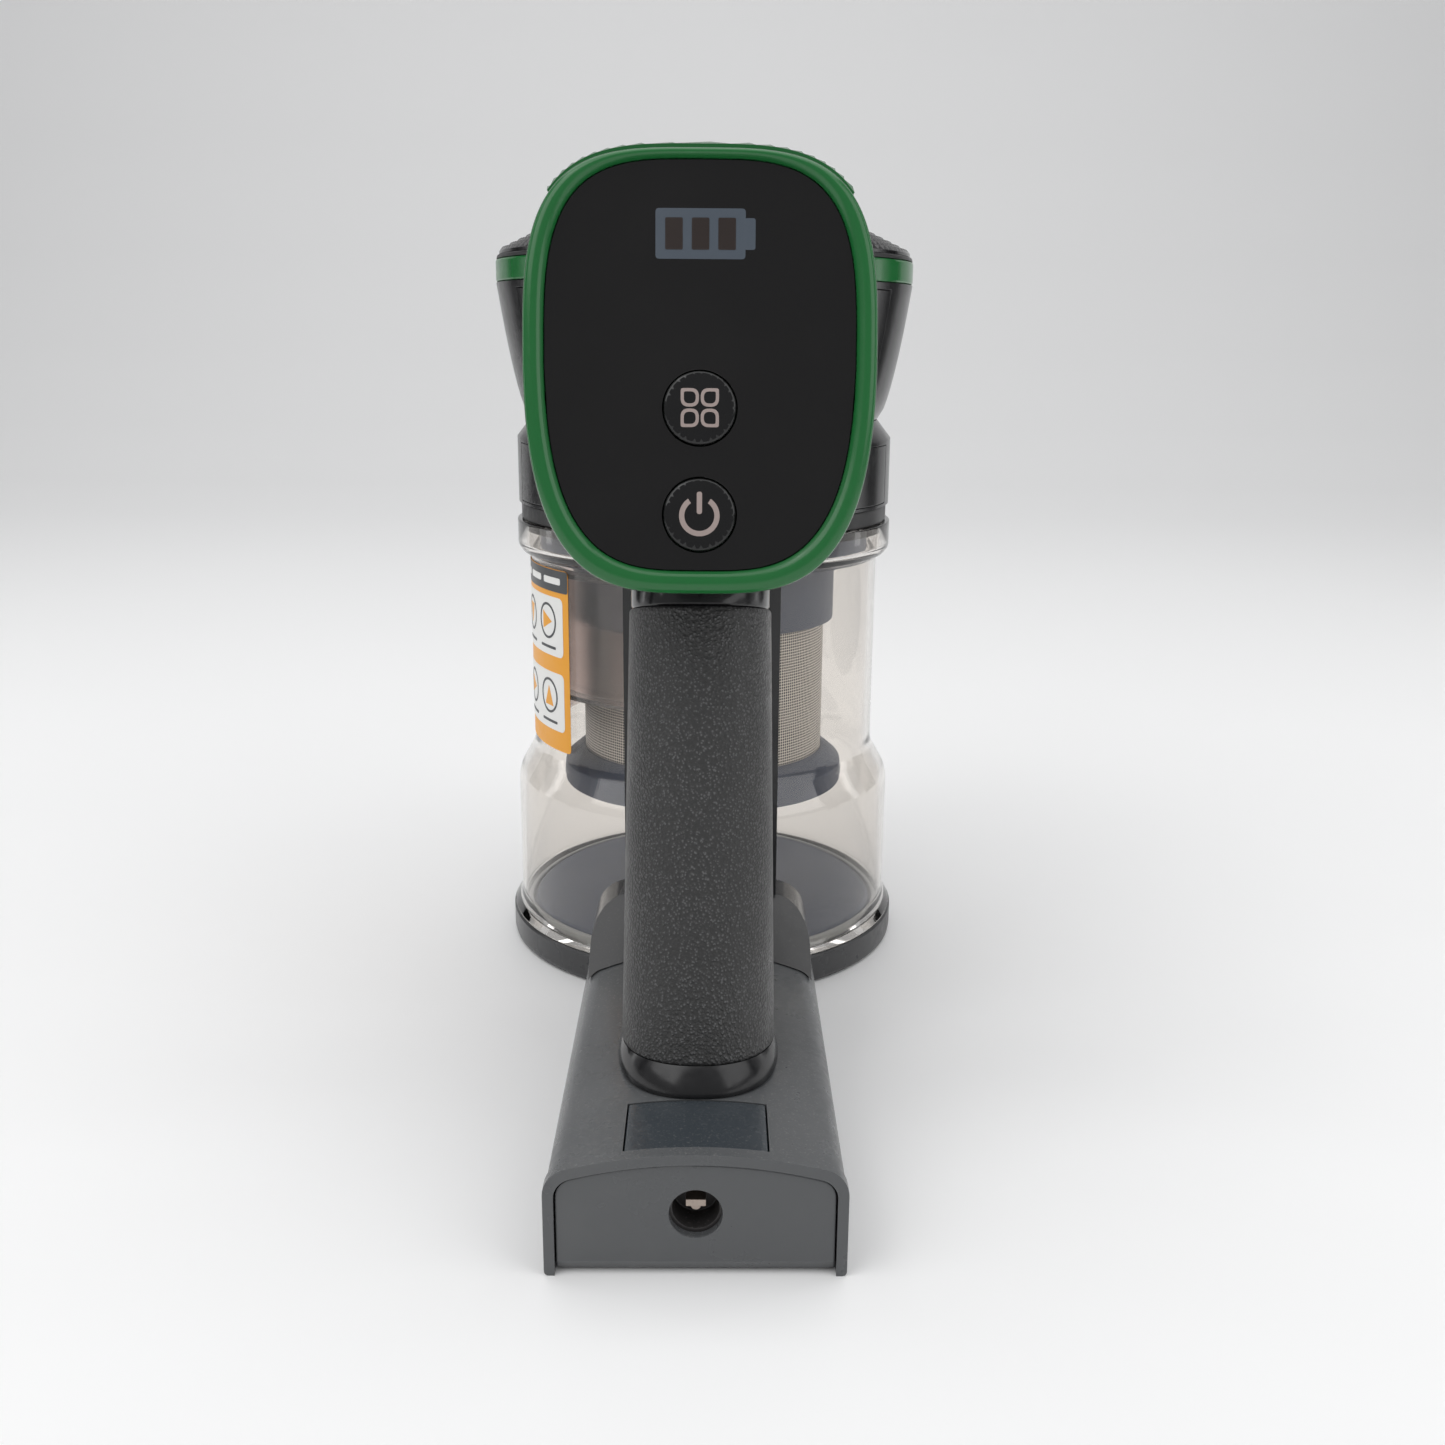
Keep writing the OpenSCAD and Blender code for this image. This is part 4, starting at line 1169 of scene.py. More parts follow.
        rim = dress_sheet(columns, arc + 2, place, closed=True)
        only(rim)
        bpy.ops.object.mode_set(mode="EDIT")
        bpy.ops.mesh.select_all(action="SELECT")
        bpy.ops.mesh.normals_make_consistent(inside=False)
        bpy.ops.object.mode_set(mode="OBJECT")
        finish_piece(rim, "display_rim", Body.MAIN, "green_gloss", ["display_bezel"])

    def plate(
        self,
        name: str,
        finish: str,
        centre: tuple[float, float],
        size: tuple[float, float],
        corner: float,
        lift: float,
    ) -> None:
        """Print a round-cornered mark on the lens.

        Args:
            name: The piece's name.
            finish: Its finish.
            centre: Its place across and up the face.
            size: Its width and height.
            corner: Its corner's radius.
            lift: How far its face stands out.
        """

        def place(across: float, along: float) -> Vector:
            """Map the sheet onto the round-cornered outline."""
            x, y = rounded_share(across, along, size, corner)
            return self.on_face(centre[0] + x, centre[1] + y, lift)

        mark = dress_sheet(24, 2, place)
        face_outwards(mark, lambda point: self.normal)
        add_modifier(mark, "SOLIDIFY", thickness=lift * 0.9, offset=-1.0)
        finish_piece(mark, name, Body.MAIN, finish)

    def charge_icon(self) -> None:
        """Print the battery-shaped icon with its three bars."""
        width, height = 20 * MM, 10.9 * MM
        self.plate("charge_icon", "symbol_slate", (0, self.icon_v), (width, height), 0.7 * MM, 0.08 * MM)
        nub = (width / 2 + 1.0 * MM, self.icon_v)
        self.plate("charge_nub", "symbol_slate", nub, (2.4 * MM, 6.8 * MM), 0.5 * MM, 0.07 * MM)
        for i, side in enumerate((-1, 0, 1), start=1):
            centre = (side * 5.9 * MM, self.icon_v)
            self.plate(f"charge_bar_{i}", "symbol_brown", centre, (3.9 * MM, 6.9 * MM), 0.3 * MM, 0.13 * MM)

    def stroke(
        self,
        name: str,
        body: Body,
        place_on_key: Callable[[float, float], tuple[float, float]],
        key_v: float,
        columns: int,
        closed: bool,
    ) -> None:
        """Print one stroke of a symbol on a key's domed face.

        Args:
            name: The piece's name.
            body: The key's body.
            place_on_key: Gives a place on the key for each share across and along.
            key_v: The key's height on the face.
            columns: Faces along the stroke.
            closed: Whether the stroke is a full ring.
        """

        def place(across: float, along: float) -> Vector:
            """Follow the dome of the key."""
            x, y = place_on_key(across, along)
            dome = 1.5 * MM - 0.14 * MM * (x * x + y * y) / (4 * MM) ** 2
            return self.on_face(x, key_v + y, dome + 0.1 * MM)

        mark = dress_sheet(columns, 2, place, closed)
        face_outwards(mark, lambda point: self.normal)
        add_modifier(mark, "SOLIDIFY", thickness=0.12 * MM, offset=-1.0)
        finish_piece(mark, name, body, "symbol_rose")

    def ring_stroke(
        self, centre: tuple[float, float], inner: float, outer: float, start: float = 0, sweep: float = 360
    ) -> Callable[[float, float], tuple[float, float]]:
        """Return the places of a ring or arc stroke.

        Args:
            centre: The ring's centre on the key.
            inner: Its inner radius.
            outer: Its outer radius.
            start: The angle where it starts, in degrees.
            sweep: How far it goes round.

        Returns:
            A function from shares to a place on the key.
        """

        def place(across: float, along: float) -> tuple[float, float]:
            """Turn the shares into a place on the ring."""
            angle = math.radians(start + sweep * across)
            radius = inner + (outer - inner) * along
            return centre[0] + radius * math.cos(angle), centre[1] + radius * math.sin(angle)

        return place

    def symbols(self) -> None:
        """Print the standby symbol and the four-petal mode symbol."""
        ring = self.ring_stroke((0, -0.2 * MM), 3.4 * MM, 4.6 * MM, 90 + 34, 360 - 68)
        self.stroke("standby_ring", Body.POWER, ring, self.power_v, 48, False)

        def bar(across: float, along: float) -> tuple[float, float]:
            """Place the standby symbol's upright bar."""
            return rounded_share_at(across, along, (0, 2.7 * MM), (1.2 * MM, 5.0 * MM), 0.5 * MM)

        self.stroke("standby_bar", Body.POWER, bar, self.power_v, 12, False)
        for i, (side, level) in enumerate(((-1, -1), (1, -1), (1, 1), (-1, 1)), start=1):
            petal = self.petal_stroke(side, level)
            self.stroke(f"mode_petal_{i}", Body.MODE, petal, self.mode_v, 48, True)

    def petal_stroke(self, side: int, level: int) -> Callable[[float, float], tuple[float, float]]:
        """Return the places of one petal's outline, square at its outer corner and round elsewhere.

        Args:
            side: -1 for a petal on the left, 1 on the right.
            level: -1 for a petal below, 1 above.

        Returns:
            A function from shares to a place on the key.
        """
        offset, outer, width = 2.25 * MM, 2.05 * MM, 0.72 * MM

        def place(across: float, along: float) -> tuple[float, float]:
            """Follow the petal's outline."""
            angle = 2 * math.pi * across
            cosine, sine = math.cos(angle), math.sin(angle)
            corner = cosine * side > 0 and sine * level > 0
            power = 2 / (9.0 if corner else 2.7)
            radius = outer - width * (1 - along)
            x = radius * math.copysign(abs(cosine) ** power, cosine)
            y = radius * math.copysign(abs(sine) ** power, sine)
            return side * offset + x, level * offset + y

        return place

    def build(self) -> None:
        """Build and dress the whole head."""
        self.soften_all(
            Body.MAIN,
            [
                ("pod_left", "black_gloss", 0),
                ("pod_right", "black_gloss", 0),
                ("display_lens", "display_black", 0.15),
            ],
        )
        soften(self.frame, "power_button", Body.POWER, "button_black", 0)
        soften(self.frame, "mode_button", Body.MODE, "button_black", 0)
        self.rim()
        self.cover()
        self.charge_icon()
        self.symbols()


def rounded_share(
    across: float, along: float, size: tuple[float, float], corner: float
) -> tuple[float, float]:
    """Map shares of a grid onto a round-cornered rectangle about the origin.

    Args:
        across: Share across, 0 to 1.
        along: Share along, 0 to 1.
        size: Width and height.
        corner: Radius of the corners.

    Returns:
        The place on the rectangle.
    """
    width, height = size
    x = -0.5 * width * math.cos(math.pi * across)
    past = max(0.0, abs(x) - (width / 2 - corner))
    half = height / 2 - corner + math.sqrt(max(0.0, corner * corner - past * past))
    return x, (2 * along - 1) * half


def rounded_share_at(
    across: float, along: float, centre: tuple[float, float], size: tuple[float, float], corner: float
) -> tuple[float, float]:
    """Map shares of a grid onto a round-cornered rectangle about a centre."""
    x, y = rounded_share(across, along, size, corner)
    return centre[0] + x, centre[1] + y


def face_outwards(obj: bpy.types.Object, outward: Callable[[Vector], Vector]) -> None:
    """Turn an open sheet's faces to the side that is outside.

    Args:
        obj: The sheet.
        outward: Gives the outward direction at a point.
    """
    mesh = obj.data
    total = sum(face.normal.dot(outward(face.center)) * face.area for face in mesh.polygons)
    if total < 0:
        only(obj)
        bpy.ops.object.mode_set(mode="EDIT")
        bpy.ops.mesh.select_all(action="SELECT")
        bpy.ops.mesh.flip_normals()
        bpy.ops.object.mode_set(mode="OBJECT")


@dataclass
class Grip(Assembly):
    """The leaning grip: a stippled sleeve with a mould seam, between a glossy neck and collar."""

    foot: tuple[float, float] = (-161.6 * MM, 31 * MM)
    lean: float = math.radians(13.5)
    foot_lean: float = math.radians(7)
    half_w: float = 19.6 * MM
    half_d: float = 23.4 * MM
    from_s: float = 3.6 * MM
    to_s: float = 112.6 * MM
    wall: float = 1.5 * MM
    seam_depth: float = 0.1 * MM
    seam_half: float = 1.1
    pack_top: float = 30.5 * MM
    crown: float = 3.7 * MM
    crown_edge: float = (34.5 - 7 + 7 * math.cos(math.radians(76))) * MM

    def point(self, s: float, angle: float, inset: float) -> Vector:
        """Return a point of the grip's oval.

        Args:
            s: Length up the grip.
            angle: Angle round the oval, in degrees.
            inset: How far inside the surface.

        Returns:
            The point in the object's frame.
        """
        share = min(1.0, max(0.0, s - self.from_s) / (18 * MM))
        plane = self.foot_lean + (self.lean - self.foot_lean) * share
        f = s / self.to_s
        half_w = self.half_w - 1.45 * MM * f - inset
        half_d = self.half_d - 1.9 * MM * f - inset
        cosine, sine = math.cos(math.radians(angle)), math.sin(math.radians(angle))
        u = half_w * math.copysign(abs(cosine) ** 0.92, cosine)
        w = half_d * math.copysign(abs(sine) ** 0.92, sine)
        y = self.foot[0] + s * math.sin(self.lean) + w * math.cos(plane)
        z = self.foot[1] + s * math.cos(self.lean) - w * math.sin(plane)
        return Vector((u, y, z))

    def sleeve(self) -> None:
        """Build the stippled sleeve with rolled ends and a seam down the middle of each side."""
        stops = [270 + 360 * i / 96 for i in range(97)]
        seams = (270.0, 450.0)
        for middle in seams:
            stops += [middle + k * self.seam_half for k in (-1, -0.45, 0, 0.45, 1)]
        stops += [630.0 - self.seam_half, 630.0 - 0.45 * self.seam_half]
        stops = sorted({round(a, 3) for a in stops if 270 <= a <= 630})
        levels = [0.0, 0.002, 0.006, *[0.012 + 0.976 * i / 24 for i in range(25)], 0.994, 0.998, 1.0]

        def place(across: float, along: float) -> Vector:
            """Wrap the sheet round the grip."""
            angle = stops[round(across * (len(stops) - 1))]
            share = levels[round(along * (len(levels) - 1))]
            s = self.from_s + (self.to_s - self.from_s) * share
            rolled = 0.45 * MM * max(0.0, 1 - min(share, 1 - share) / 0.006) ** 2
            near = min(abs(angle - middle) for middle in (270.0, 450.0, 630.0))
            groove = self.seam_depth * max(0.0, 1 - near / (0.6 * self.seam_half))
            return self.point(s, angle, rolled + groove)

        sleeve = dress_sheet(len(stops) - 1, len(levels) - 1, place, closed=True)
        face_outwards(sleeve, lambda p: Vector((p.x, p.y - self.foot[0] - (p.z - self.foot[1]) * 0.24, 0)))
        add_modifier(sleeve, "SOLIDIFY", thickness=self.wall, offset=-1.0)
        finish_piece(
            sleeve, "grip_sleeve_stippled", Body.MAIN, "grip_stipple", ["grip_sleeve"]
        )

    def crown_point(self, angle: float, half_w: float, half_d: float, lift: float) -> Vector:
        """Return a point of an oval that lies on the battery pack's crown.

        Args:
            angle: Angle round the oval, in degrees.
            half_w: Half the oval's width.
            half_d: Half its depth.
            lift: Its height over the crown.

        Returns:
            The point in the object's frame.
        """
        cosine, sine = math.cos(math.radians(angle)), math.sin(math.radians(angle))
        x = half_w * math.copysign(abs(cosine) ** 0.92, cosine)
        y = self.foot[0] + half_d * math.copysign(abs(sine) ** 0.92, sine)
        return Vector((x, y, self.pack_top - self.crown * (x / self.crown_edge) ** 2 + lift))

    def collar(self) -> None:
        """Build the rounded foot ring, as one bead from the sleeve down to the pack."""
        rows = 16

        def place(across: float, along: float) -> Vector:
            """Sweep the bead from the pack's crown up to the sleeve."""
            angle = 360 * across
            low = self.crown_point(angle, 20.2 * MM, 25.7 * MM, 0.05 * MM)
            high = self.point(3.5 * MM, angle, 0.2 * MM)
            if along > 0.999:
                return self.point(3.5 * MM, angle, 3.6 * MM)
            share = along * rows / (rows - 1)
            bulge = math.sin(math.pi * share) ** 0.75 * 0.7 * MM
            middle = low.lerp(high, share**1.15)
            outward = Vector((middle.x, middle.y - self.foot[0], 0)).normalized()
            return middle + outward * bulge

        ring = dress_sheet(96, rows, place, closed=True)
        face_outwards(ring, lambda p: Vector((p.x, p.y - self.foot[0], 0)))
        add_modifier(ring, "SOLIDIFY", thickness=1.2 * MM, offset=-1.0)
        finish_piece(ring, "grip_collar_bead", Body.MAIN, "black_gloss", ["grip_collar"])

    def build(self) -> None:
        """Build and dress the grip and what it stands on."""
        self.sleeve()
        self.collar()
        self.soften_all(
            Body.MAIN,
            [
                ("grip_neck", "black_gloss", 0),
                ("spine_cover", "black_gloss", 2.2),
                ("battery_dock", "dock_gloss", 0.6),
            ],
        )


@dataclass
class BatteryPack(Assembly):
    """The slide-on pack with its rim, end cap, charging recess and release plate."""

    def build(self) -> None:
        """Round the pack's edges and dress it."""
        self.soften_all(
            Body.BATTERY,
            [
                ("battery_shell", "pack_satin", 0.45),
                ("battery_end_cap", "pack_satin", 0.35),
                ("dc_jack", "jack_black", 0.3),
                ("dc_contacts", "contact_rose", 0.12),
            ],
        )
        soften(self.frame, "battery_release", Body.BATTERY_KEY, "plate_gloss", 0.5 * MM)


@dataclass
class UsageLabel(Assembly):
    """The wrapped usage label: a film, a dark header, two pale panels and plain pictograms."""

    radius: float = 59.72 * MM
    centre: float = math.radians(194.5)
    width: float = 60.2 * MM
    low: float = 74 * MM
    high: float = 135 * MM

    def wrap(self, x: float, z: float, lift: float) -> Vector:
        """Return a label place, x to its right as it is read, on the cup's wall."""
        angle = self.centre + x / self.radius
        radius = self.radius + lift
        return Vector((radius * math.cos(angle), radius * math.sin(angle), z))

    def patch(
        self,
        name: str,
        finish: str,
        centre: tuple[float, float],
        size: tuple[float, float],
        corner: float,
        lift: float,
        replaces: Iterable[str] = (),
    ) -> None:
        """Print a round-cornered patch on the label.

        Args:
            name: The piece's name.
            finish: Its finish.
            centre: Its place along the label and its height.
            size: Its width and height.
            corner: Its corner's radius.
            lift: How far it stands out.
            replaces: CAD nodes that it stands for.
        """

        def place(across: float, along: float) -> Vector:
            """Wrap the round-cornered patch on the wall."""
            x, z = rounded_share_at(across, along, centre, size, corner)
            return self.wrap(x, z, lift)

        self.finish_mark(dress_sheet(28, 3, place), name, finish, lift, replaces)

    def finish_mark(
        self, mark: bpy.types.Object, name: str, finish: str, lift: float, replaces: Iterable[str] = ()
    ) -> None:
        """Give a mark its wall, finish and body."""
        face_outwards(mark, lambda p: Vector((p.x, p.y, 0)))
        add_modifier(mark, "SOLIDIFY", thickness=min(0.1 * MM, lift + 0.08 * MM), offset=-1.0)
        finish_piece(mark, name, Body.CUP, finish, replaces)

    def ring(self, name: str, finish: str, centre: tuple[float, float], outer: float, inner: float) -> None:
        """Print a ring or, with no inner radius, a disc."""

        def place(across: float, along: float) -> Vector:
            """Wrap the ring on the wall."""
            angle = 2 * math.pi * across
            radius = max(0.01 * MM, inner + (outer - inner) * along)
            return self.wrap(
                centre[0] + radius * math.cos(angle), centre[1] + radius * math.sin(angle), 0.16 * MM
            )

        self.finish_mark(dress_sheet(32, 1, place, closed=True), name, finish, 0.16 * MM)

    def wedge(self, name: str, finish: str, centre: tuple[float, float], size: float, turn: float) -> None:
        """Print a triangle that points at a turn, in degrees from the right."""

        def place(across: float, along: float) -> Vector:
            """Wrap the triangle on the wall."""
            x, y = size * (across - 0.5) * 1.1, size * (along - 0.5) * (1 - across)
            c, s = math.cos(math.radians(turn)), math.sin(math.radians(turn))
            return self.wrap(centre[0] + x * c - y * s, centre[1] + x * s + y * c, 0.16 * MM)

        self.finish_mark(dress_sheet(8, 2, place), name, finish, 0.16 * MM)

    def build(self) -> None:
        """Build the label's film and its prints."""
        film = (self.width, self.high - self.low)
        middle = (self.low + self.high) / 2
        self.patch("label_film", "label_orange", (0, middle), film, 1.5 * MM, 0.0, ["cup_label"])
        self.patch("label_header", "label_dark", (0, 131.2 * MM), (59.8 * MM, 7.2 * MM), 0.8 * MM, 0.08 * MM)
        for row, z in enumerate((115.9 * MM, 90.5 * MM), start=1):
            self.patch(f"label_panel_{row}", "label_white", (0, z), (54 * MM, 19.8 * MM), 2 * MM, 0.08 * MM)
            for column, x in enumerate((-17 * MM, 0.0, 17 * MM), start=1):
                tag = f"{row}_{column}"
                self.ring(f"label_ring_{tag}", "label_dark", (x, z + 1.5 * MM), 6 * MM, 5.2 * MM)
                turn = 90 * (column + row)
                self.wedge(f"label_arrow_{tag}", "label_orange", (x, z + 1.5 * MM), 6 * MM, turn)
                self.patch(
                    f"label_line_{tag}",
                    "label_dark",
                    (x, z - 7.2 * MM),
                    (11 * MM, 0.9 * MM),
                    0.3 * MM,
                    0.16 * MM,
                )
        for i in range(4):
            self.patch(
                f"label_dash_{i + 1}",
                "label_white",
                ((-20 + 13.5 * i) * MM, 131.2 * MM),
                (11 * MM, 2.2 * MM),
                0.6 * MM,
                0.16 * MM,
            )


@dataclass
class DustCup(Assembly):
    """The clear cup with its lid, latch, inlet and the smoked guide inside."""

    lower_r: float = 65.6
    upper_r: float = 59.5
    collar_r: float = 63.7
    foot_r: float = 68.3
    wall: float = 2.2
    foot_z: float = 10.3
    cone_z: tuple[float, float] = (59.6, 70.3)
    collar_z: float = 137.0
    top_z: float = 148.6
    bore: tuple[float, float] = (97.0, 20.1)
    guide_from: float = 112.0
    guide_step: float = 172.0
    guide_to: float = 262.0
    guide_low: tuple[float, float] = (75.6, 92.4)
    guide_high: float = 134.2

    def shell(self) -> None:
        """Spin the clear cup from its rounded profile and cut the inlet's hole."""
        lower, upper, collar, wall = self.lower_r, self.upper_r, self.collar_r, self.wall
        corners = (
            (self.foot_r, self.foot_z, 0.4),
            (lower + 0.5, 13.8, 1.4),
            (lower, 16.5, 1.2),
            (lower, self.cone_z[0], 3.0),
            (upper, self.cone_z[1], 3.0),
            (upper, self.collar_z, 0.8),
            (collar - 1.4, self.collar_z + 1, 0.6),
            (collar, self.collar_z + 3, 1.0),
            (collar, self.top_z, 0.6),
            (collar - wall, self.top_z, 0.5),
            (collar - wall, self.collar_z + 3.4, 1.2),
            (upper - wall, self.collar_z + 1.4, 1.0),
            (upper - wall, self.cone_z[1] - 0.6, 3.0),
            (lower - wall, self.cone_z[0] - 0.6, 3.0),
            (lower - wall, self.foot_z, 0.5),
        )
        points = [(r * MM, z * MM) for r, z, _ in corners]
        profile = rounded_profile(points, [radius * MM for _, _, radius in corners])
        shell = spin_profile(profile, 180)
        bpy.ops.object.select_all(action="DESELECT")
        bpy.ops.mesh.primitive_cylinder_add(
            vertices=96,
            radius=self.bore[1] * MM,
            depth=40 * MM,
            location=(0, 60 * MM, self.bore[0] * MM),
            rotation=(math.pi / 2, 0, 0),
        )
        cutter = bpy.context.object
        add_modifier(shell, "BOOLEAN", operation="DIFFERENCE", solver="EXACT", object=cutter)
        bpy.data.objects.remove(cutter)
        finish_piece(shell, "cup_clear_shell", Body.CUP, "cup_clear", ["cup_shell"])

    def guide(self) -> None:
        """Build the smoked guide from the inlet round to the grip's side."""
        foot, web = self.upper_r - self.wall - 0.2, 51.8
        wall, bend = 1.6, 1.2

        def place(across: float, along: float) -> Vector:
            """Sweep the guide's channel round the cup, with its lower edge stepped up once."""
            angle = self.guide_from + (self.guide_to - self.guide_from) * across
            step = min(max((angle - self.guide_step) / 4, 0), 1)
            low = self.guide_low[0] + (self.guide_low[1] - self.guide_low[0]) * step + wall
            high = self.guide_high - wall
            channel = (
                (foot, low),
                (web + bend, low),
                (web, low + bend),
                (web, high - bend),
                (web + bend, high),
                (foot, high),
            )
            radius, z = channel[round(along * (len(channel) - 1))]
            turn = math.radians(angle)
            return Vector((radius * math.cos(turn), radius * math.sin(turn), z)) * MM

        sheet = dress_sheet(150, 5, place)
        face_outwards(sheet, lambda p: Vector((p.x, p.y, 0)))
        add_modifier(sheet, "SOLIDIFY", thickness=wall * MM, offset=-1.0)
        finish_piece(sheet, "inlet_guide_sheet", Body.CUP, "guide_smoke", ["inlet_guide"])

    def build(self) -> None:
        """Round the edges and dress the cup, the lid and the latch."""
        self.shell()
        self.guide()
        self.soften_all(
            Body.CUP,
            [
                ("inlet_tube", "inlet_black", 0.5),
                ("hinge_bracket", "inlet_black", 0.4),
                ("latch_bracket", "inlet_black", 0.3),
                ("cup_seal", "rubber_black", 0.4),
            ],
        )
        self.soften_all(
            Body.LID,
            [
                ("cup_lid", "lid_grey", 0.5),
                ("lid_disc", "blue_grey", 0.4),
                ("lid_seal", "seal_pale", 0.4),
            ],
        )
        soften(self.frame, "lid_latch", Body.LATCH, "inlet_black", 0.6 * MM)
        soften(self.frame, "cup_release", Body.RELEASE, "green_gloss", 0.6 * MM)


@dataclass
class CycloneFilter(Assembly):
    """The collar, etched screen and skirt that hang in the cup."""

    def build(self) -> None:
        """Round the edges and dress the filter."""
        self.soften_all(
            Body.FILTER,
            [
                ("filter_collar", "blue_grey", 0.5),
                ("mesh_screen", "mesh_steel", 0),
                ("filter_skirt", "blue_grey", 0.4),
            ],
        )


@dataclass
class Interior(Assembly):
    """The CAD nodes that stay as they are: inner parts and small fittings."""

    finish_of_slot: dict[str, str] = field(
        default_factory=lambda: {
            "cap_gloss": "black_gloss",
            "motor_steel": "steel",
            "motor_rubber": "rubber_black",
            "board": "board_green",
            "impeller_alloy": "alloy",
            "pod_gloss": "black_gloss",
            "switch_metal": "steel",
            "grip_rubber": "grip_stipple",
            "grip_gloss": "black_gloss",
            "contact_gold": "gold",
            "label_film": "label_orange",
            "release_gloss": "black_gloss",
        }
    )

    def build(self) -> None:
        """Give every CAD node its slot's finish."""
        for part in self.frame["record"]["subparts"]:
            slot = part["material_slot"]
            finish = Finishes.get(self.finish_of_slot.get(slot, slot))
            node = self.frame["nodes"][part["node"]]
            if not node.material_slots:
                node.data.materials.append(finish)
            for place in node.material_slots:
                place.material = finish
        LOG.info("dressed %d CAD nodes", len(self.frame["nodes"]))


# ---------------------------------------------------------------- studio


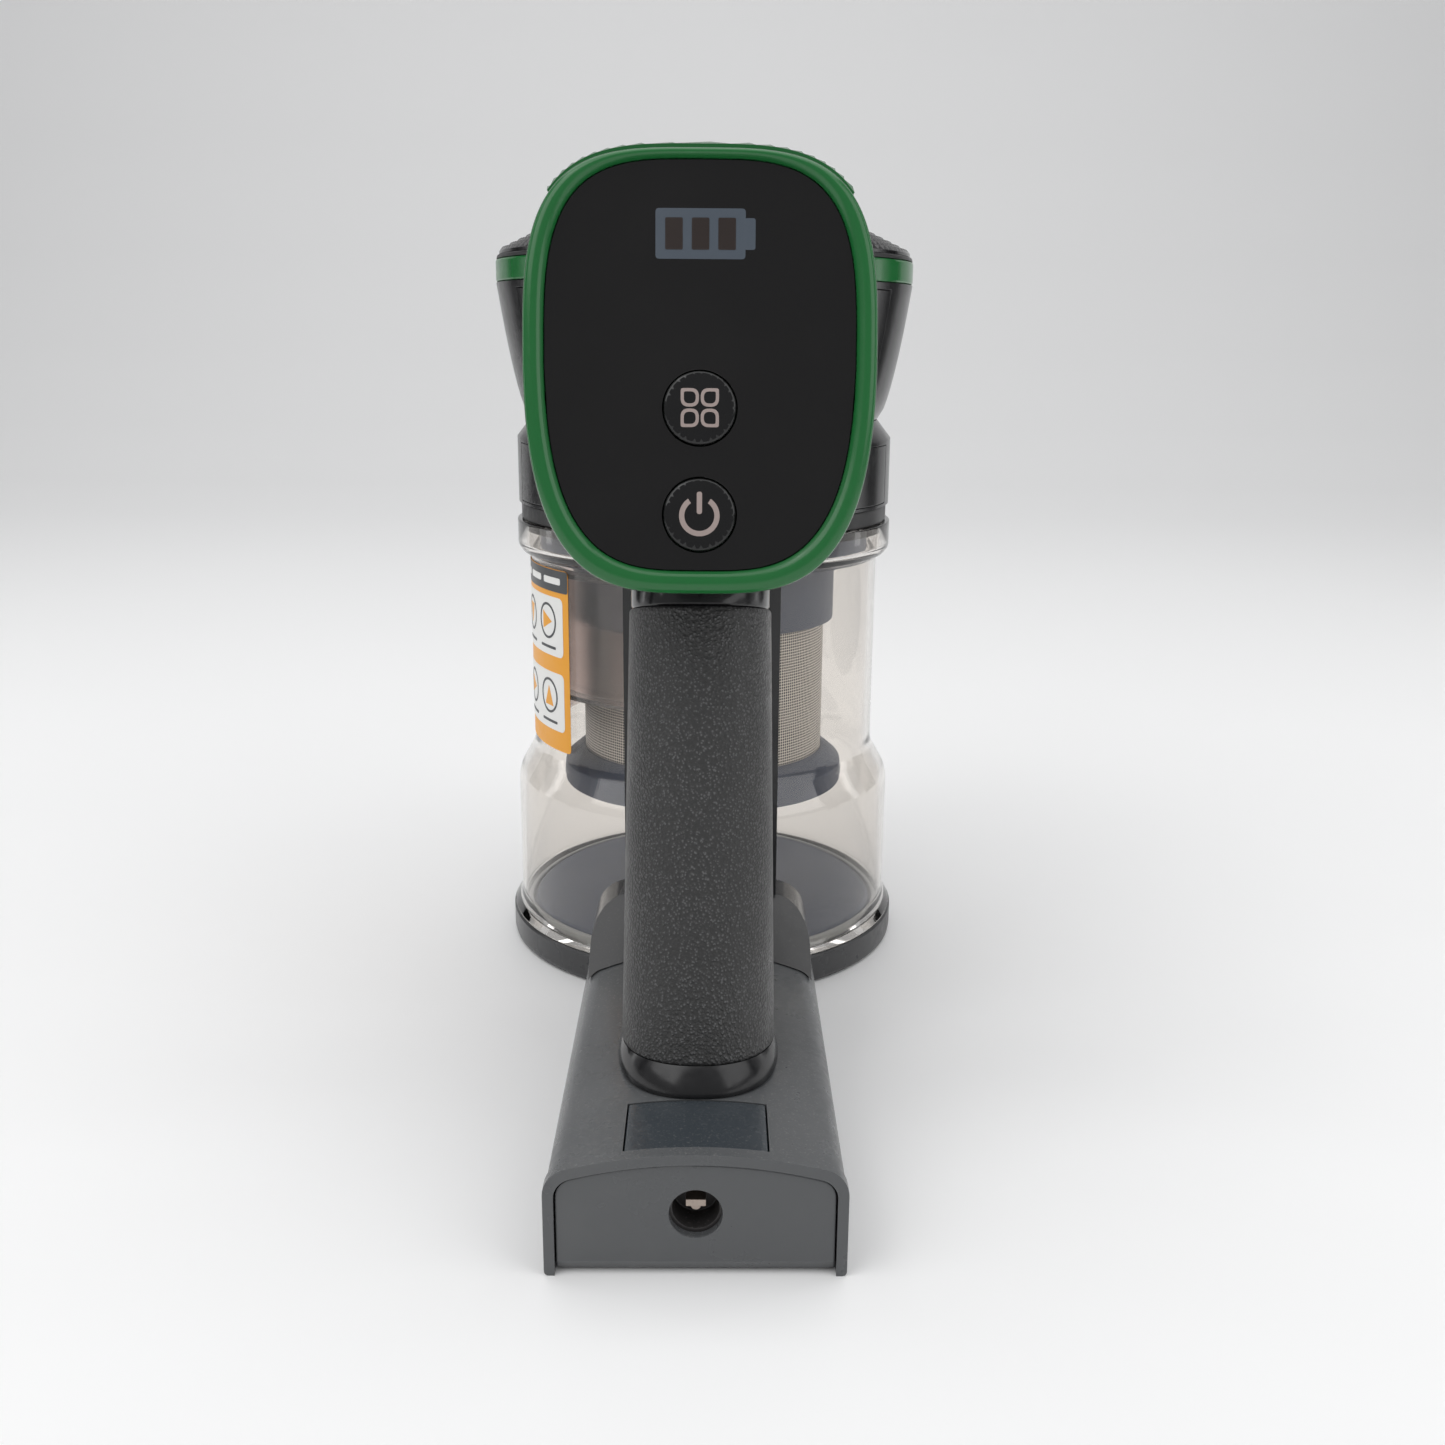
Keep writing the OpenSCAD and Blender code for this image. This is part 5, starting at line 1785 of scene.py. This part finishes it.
@dataclass
class Studio:
    """The pale sweep, the soft lights and the camera."""

    eye: tuple[float, float, float] = (0.003, -0.502, 0.209)
    pitch: float = math.radians(15)
    yaw: float = math.radians(0.45)
    roll: float = math.radians(0.42)
    lens: float = 36.1
    sweep_half: float = 4.0
    wall_y: float = 2.2
    bend_r: float = 0.9
    pale: RGB = (0.93, 0.93, 0.93)

    def camera(self) -> None:
        """Place the camera."""
        data = bpy.data.cameras.new("camera")
        data.lens = self.lens
        data.sensor_width = 36.0
        data.clip_start = 0.01
        camera = bpy.data.objects.new("camera", data)
        turn = (
            Matrix.Rotation(-self.yaw, 4, "Z")
            @ Matrix.Rotation(math.pi / 2 - self.pitch, 4, "X")
            @ Matrix.Rotation(self.roll, 4, "Z")
        )
        camera.matrix_world = Matrix.Translation(self.eye) @ turn
        bpy.context.scene.collection.objects.link(camera)
        bpy.context.scene.camera = camera

    def floor(self) -> None:
        """Build the floor that sweeps up into a backdrop."""
        rows = 40
        flat = self.wall_y - self.bend_r + self.sweep_half
        arc = self.bend_r * math.pi / 2
        total = flat + arc + 2.0

        def place(across: float, along: float) -> Vector:
            """Lay the sheet along the floor, round the bend and up the wall."""
            x = (across - 0.5) * 2 * self.sweep_half
            s = along * total
            if s <= flat:
                return Vector((x, -self.sweep_half + s, 0))
            turn = min((s - flat) / self.bend_r, math.pi / 2)
            y = self.wall_y - self.bend_r + self.bend_r * math.sin(turn)
            z = self.bend_r * (1 - math.cos(turn)) + max(0.0, s - flat - arc)
            return Vector((x, y, z))

        sweep = dress_sheet(2, rows, place)
        sweep.name = "studio_sweep"
        face_outwards(sweep, lambda p: Vector((0, -p.z, 1)))
        material, tree, shader = new_material("studio_floor")
        marks = place_group(tree, "Handling marks", Roughness=0.55, Amount=0.05, Scale=3.0)
        tree.links.new(marks.outputs["Roughness"], shader.inputs["Roughness"])
        shader.inputs["Base Color"].default_value = rgba(self.pale)
        sweep.data.materials.append(material)
        only(sweep)
        bpy.ops.object.shade_smooth()

    def light(
        self, name: str, place: tuple[float, float, float], size: tuple[float, float], power: float
    ) -> None:
        """Add a soft box aimed at the object.

        Args:
            name: The light's name.
            place: Where it stands.
            size: Its width and height.
            power: Its power in watts.
        """
        data = bpy.data.lights.new(name, "AREA")
        data.shape = "RECTANGLE"
        data.size, data.size_y = size
        data.energy = power
        lamp = bpy.data.objects.new(name, data)
        lamp.location = place
        aim = Vector((0, -0.08, 0.13)) - Vector(place)
        lamp.rotation_euler = aim.to_track_quat("-Z", "Y").to_euler()
        bpy.context.scene.collection.objects.link(lamp)

    def flag(self, name: str, place: tuple[float, float, float], size: tuple[float, float]) -> None:
        """Stand a dark flag beside the object, seen in its glossy reflections alone.

        Args:
            name: The flag's name.
            place: Its middle.
            size: Its width and height.
        """
        bpy.ops.mesh.primitive_plane_add(size=1, location=place)
        flag = bpy.context.object
        flag.name = name
        flag.scale = (*size, 1)
        aim = Vector((0, 0, place[2])) - Vector(place)
        flag.rotation_euler = aim.to_track_quat("Z", "Y").to_euler()
        material, _, shader = new_material(name)
        shader.inputs["Base Color"].default_value = rgba((0.01, 0.01, 0.01))
        shader.inputs["Roughness"].default_value = 1.0
        flag.data.materials.append(material)
        flag.visible_camera = False
        flag.visible_diffuse = False
        flag.visible_transmission = False
        flag.visible_shadow = False

    def build(self) -> None:
        """Build the whole studio."""
        bpy.context.scene.view_settings.view_transform = "Standard"
        world = bpy.data.worlds.new("studio")
        bpy.context.scene.world = world
        world.use_nodes = True
        background = world.node_tree.nodes["Background"]
        background.inputs["Color"].default_value = (0.98, 0.985, 1.0, 1.0)
        background.inputs["Strength"].default_value = 0.36
        self.floor()
        self.light("key_softbox", (-0.95, -0.8, 1.15), (1.3, 1.2), 8)
        self.light("fill_softbox", (1.1, -0.7, 0.8), (1.1, 1.2), 5)
        self.light("top_softbox", (0.0, 0.1, 1.9), (2.6, 2.4), 22)
        self.light("strip_left", (-0.85, 0.2, 0.4), (0.1, 0.8), 0.4)
        self.light("strip_right", (0.85, 0.2, 0.4), (0.1, 0.8), 0.4)
        for name, side in (("flag_left", -1), ("flag_right", 1)):
            self.flag(name, (side * 0.70, 0.42, 0.35), (0.22, 0.9))
            self.flag(f"{name}_near", (side * 0.80, -0.12, 0.35), (0.12, 0.9))
        self.camera()


def main() -> None:
    """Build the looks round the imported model."""
    logging.basicConfig(level=logging.INFO, format="%(name)s: %(message)s")
    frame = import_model()
    Interior(frame).build()
    for assembly in (
        MotorHead(frame),
        FacetedCap(frame),
        DisplayHead(frame),
        Grip(frame),
        BatteryPack(frame),
        DustCup(frame),
        UsageLabel(frame),
        CycloneFilter(frame),
    ):
        assembly.build()
    Studio().build()


if __name__ == "__main__":
    main()
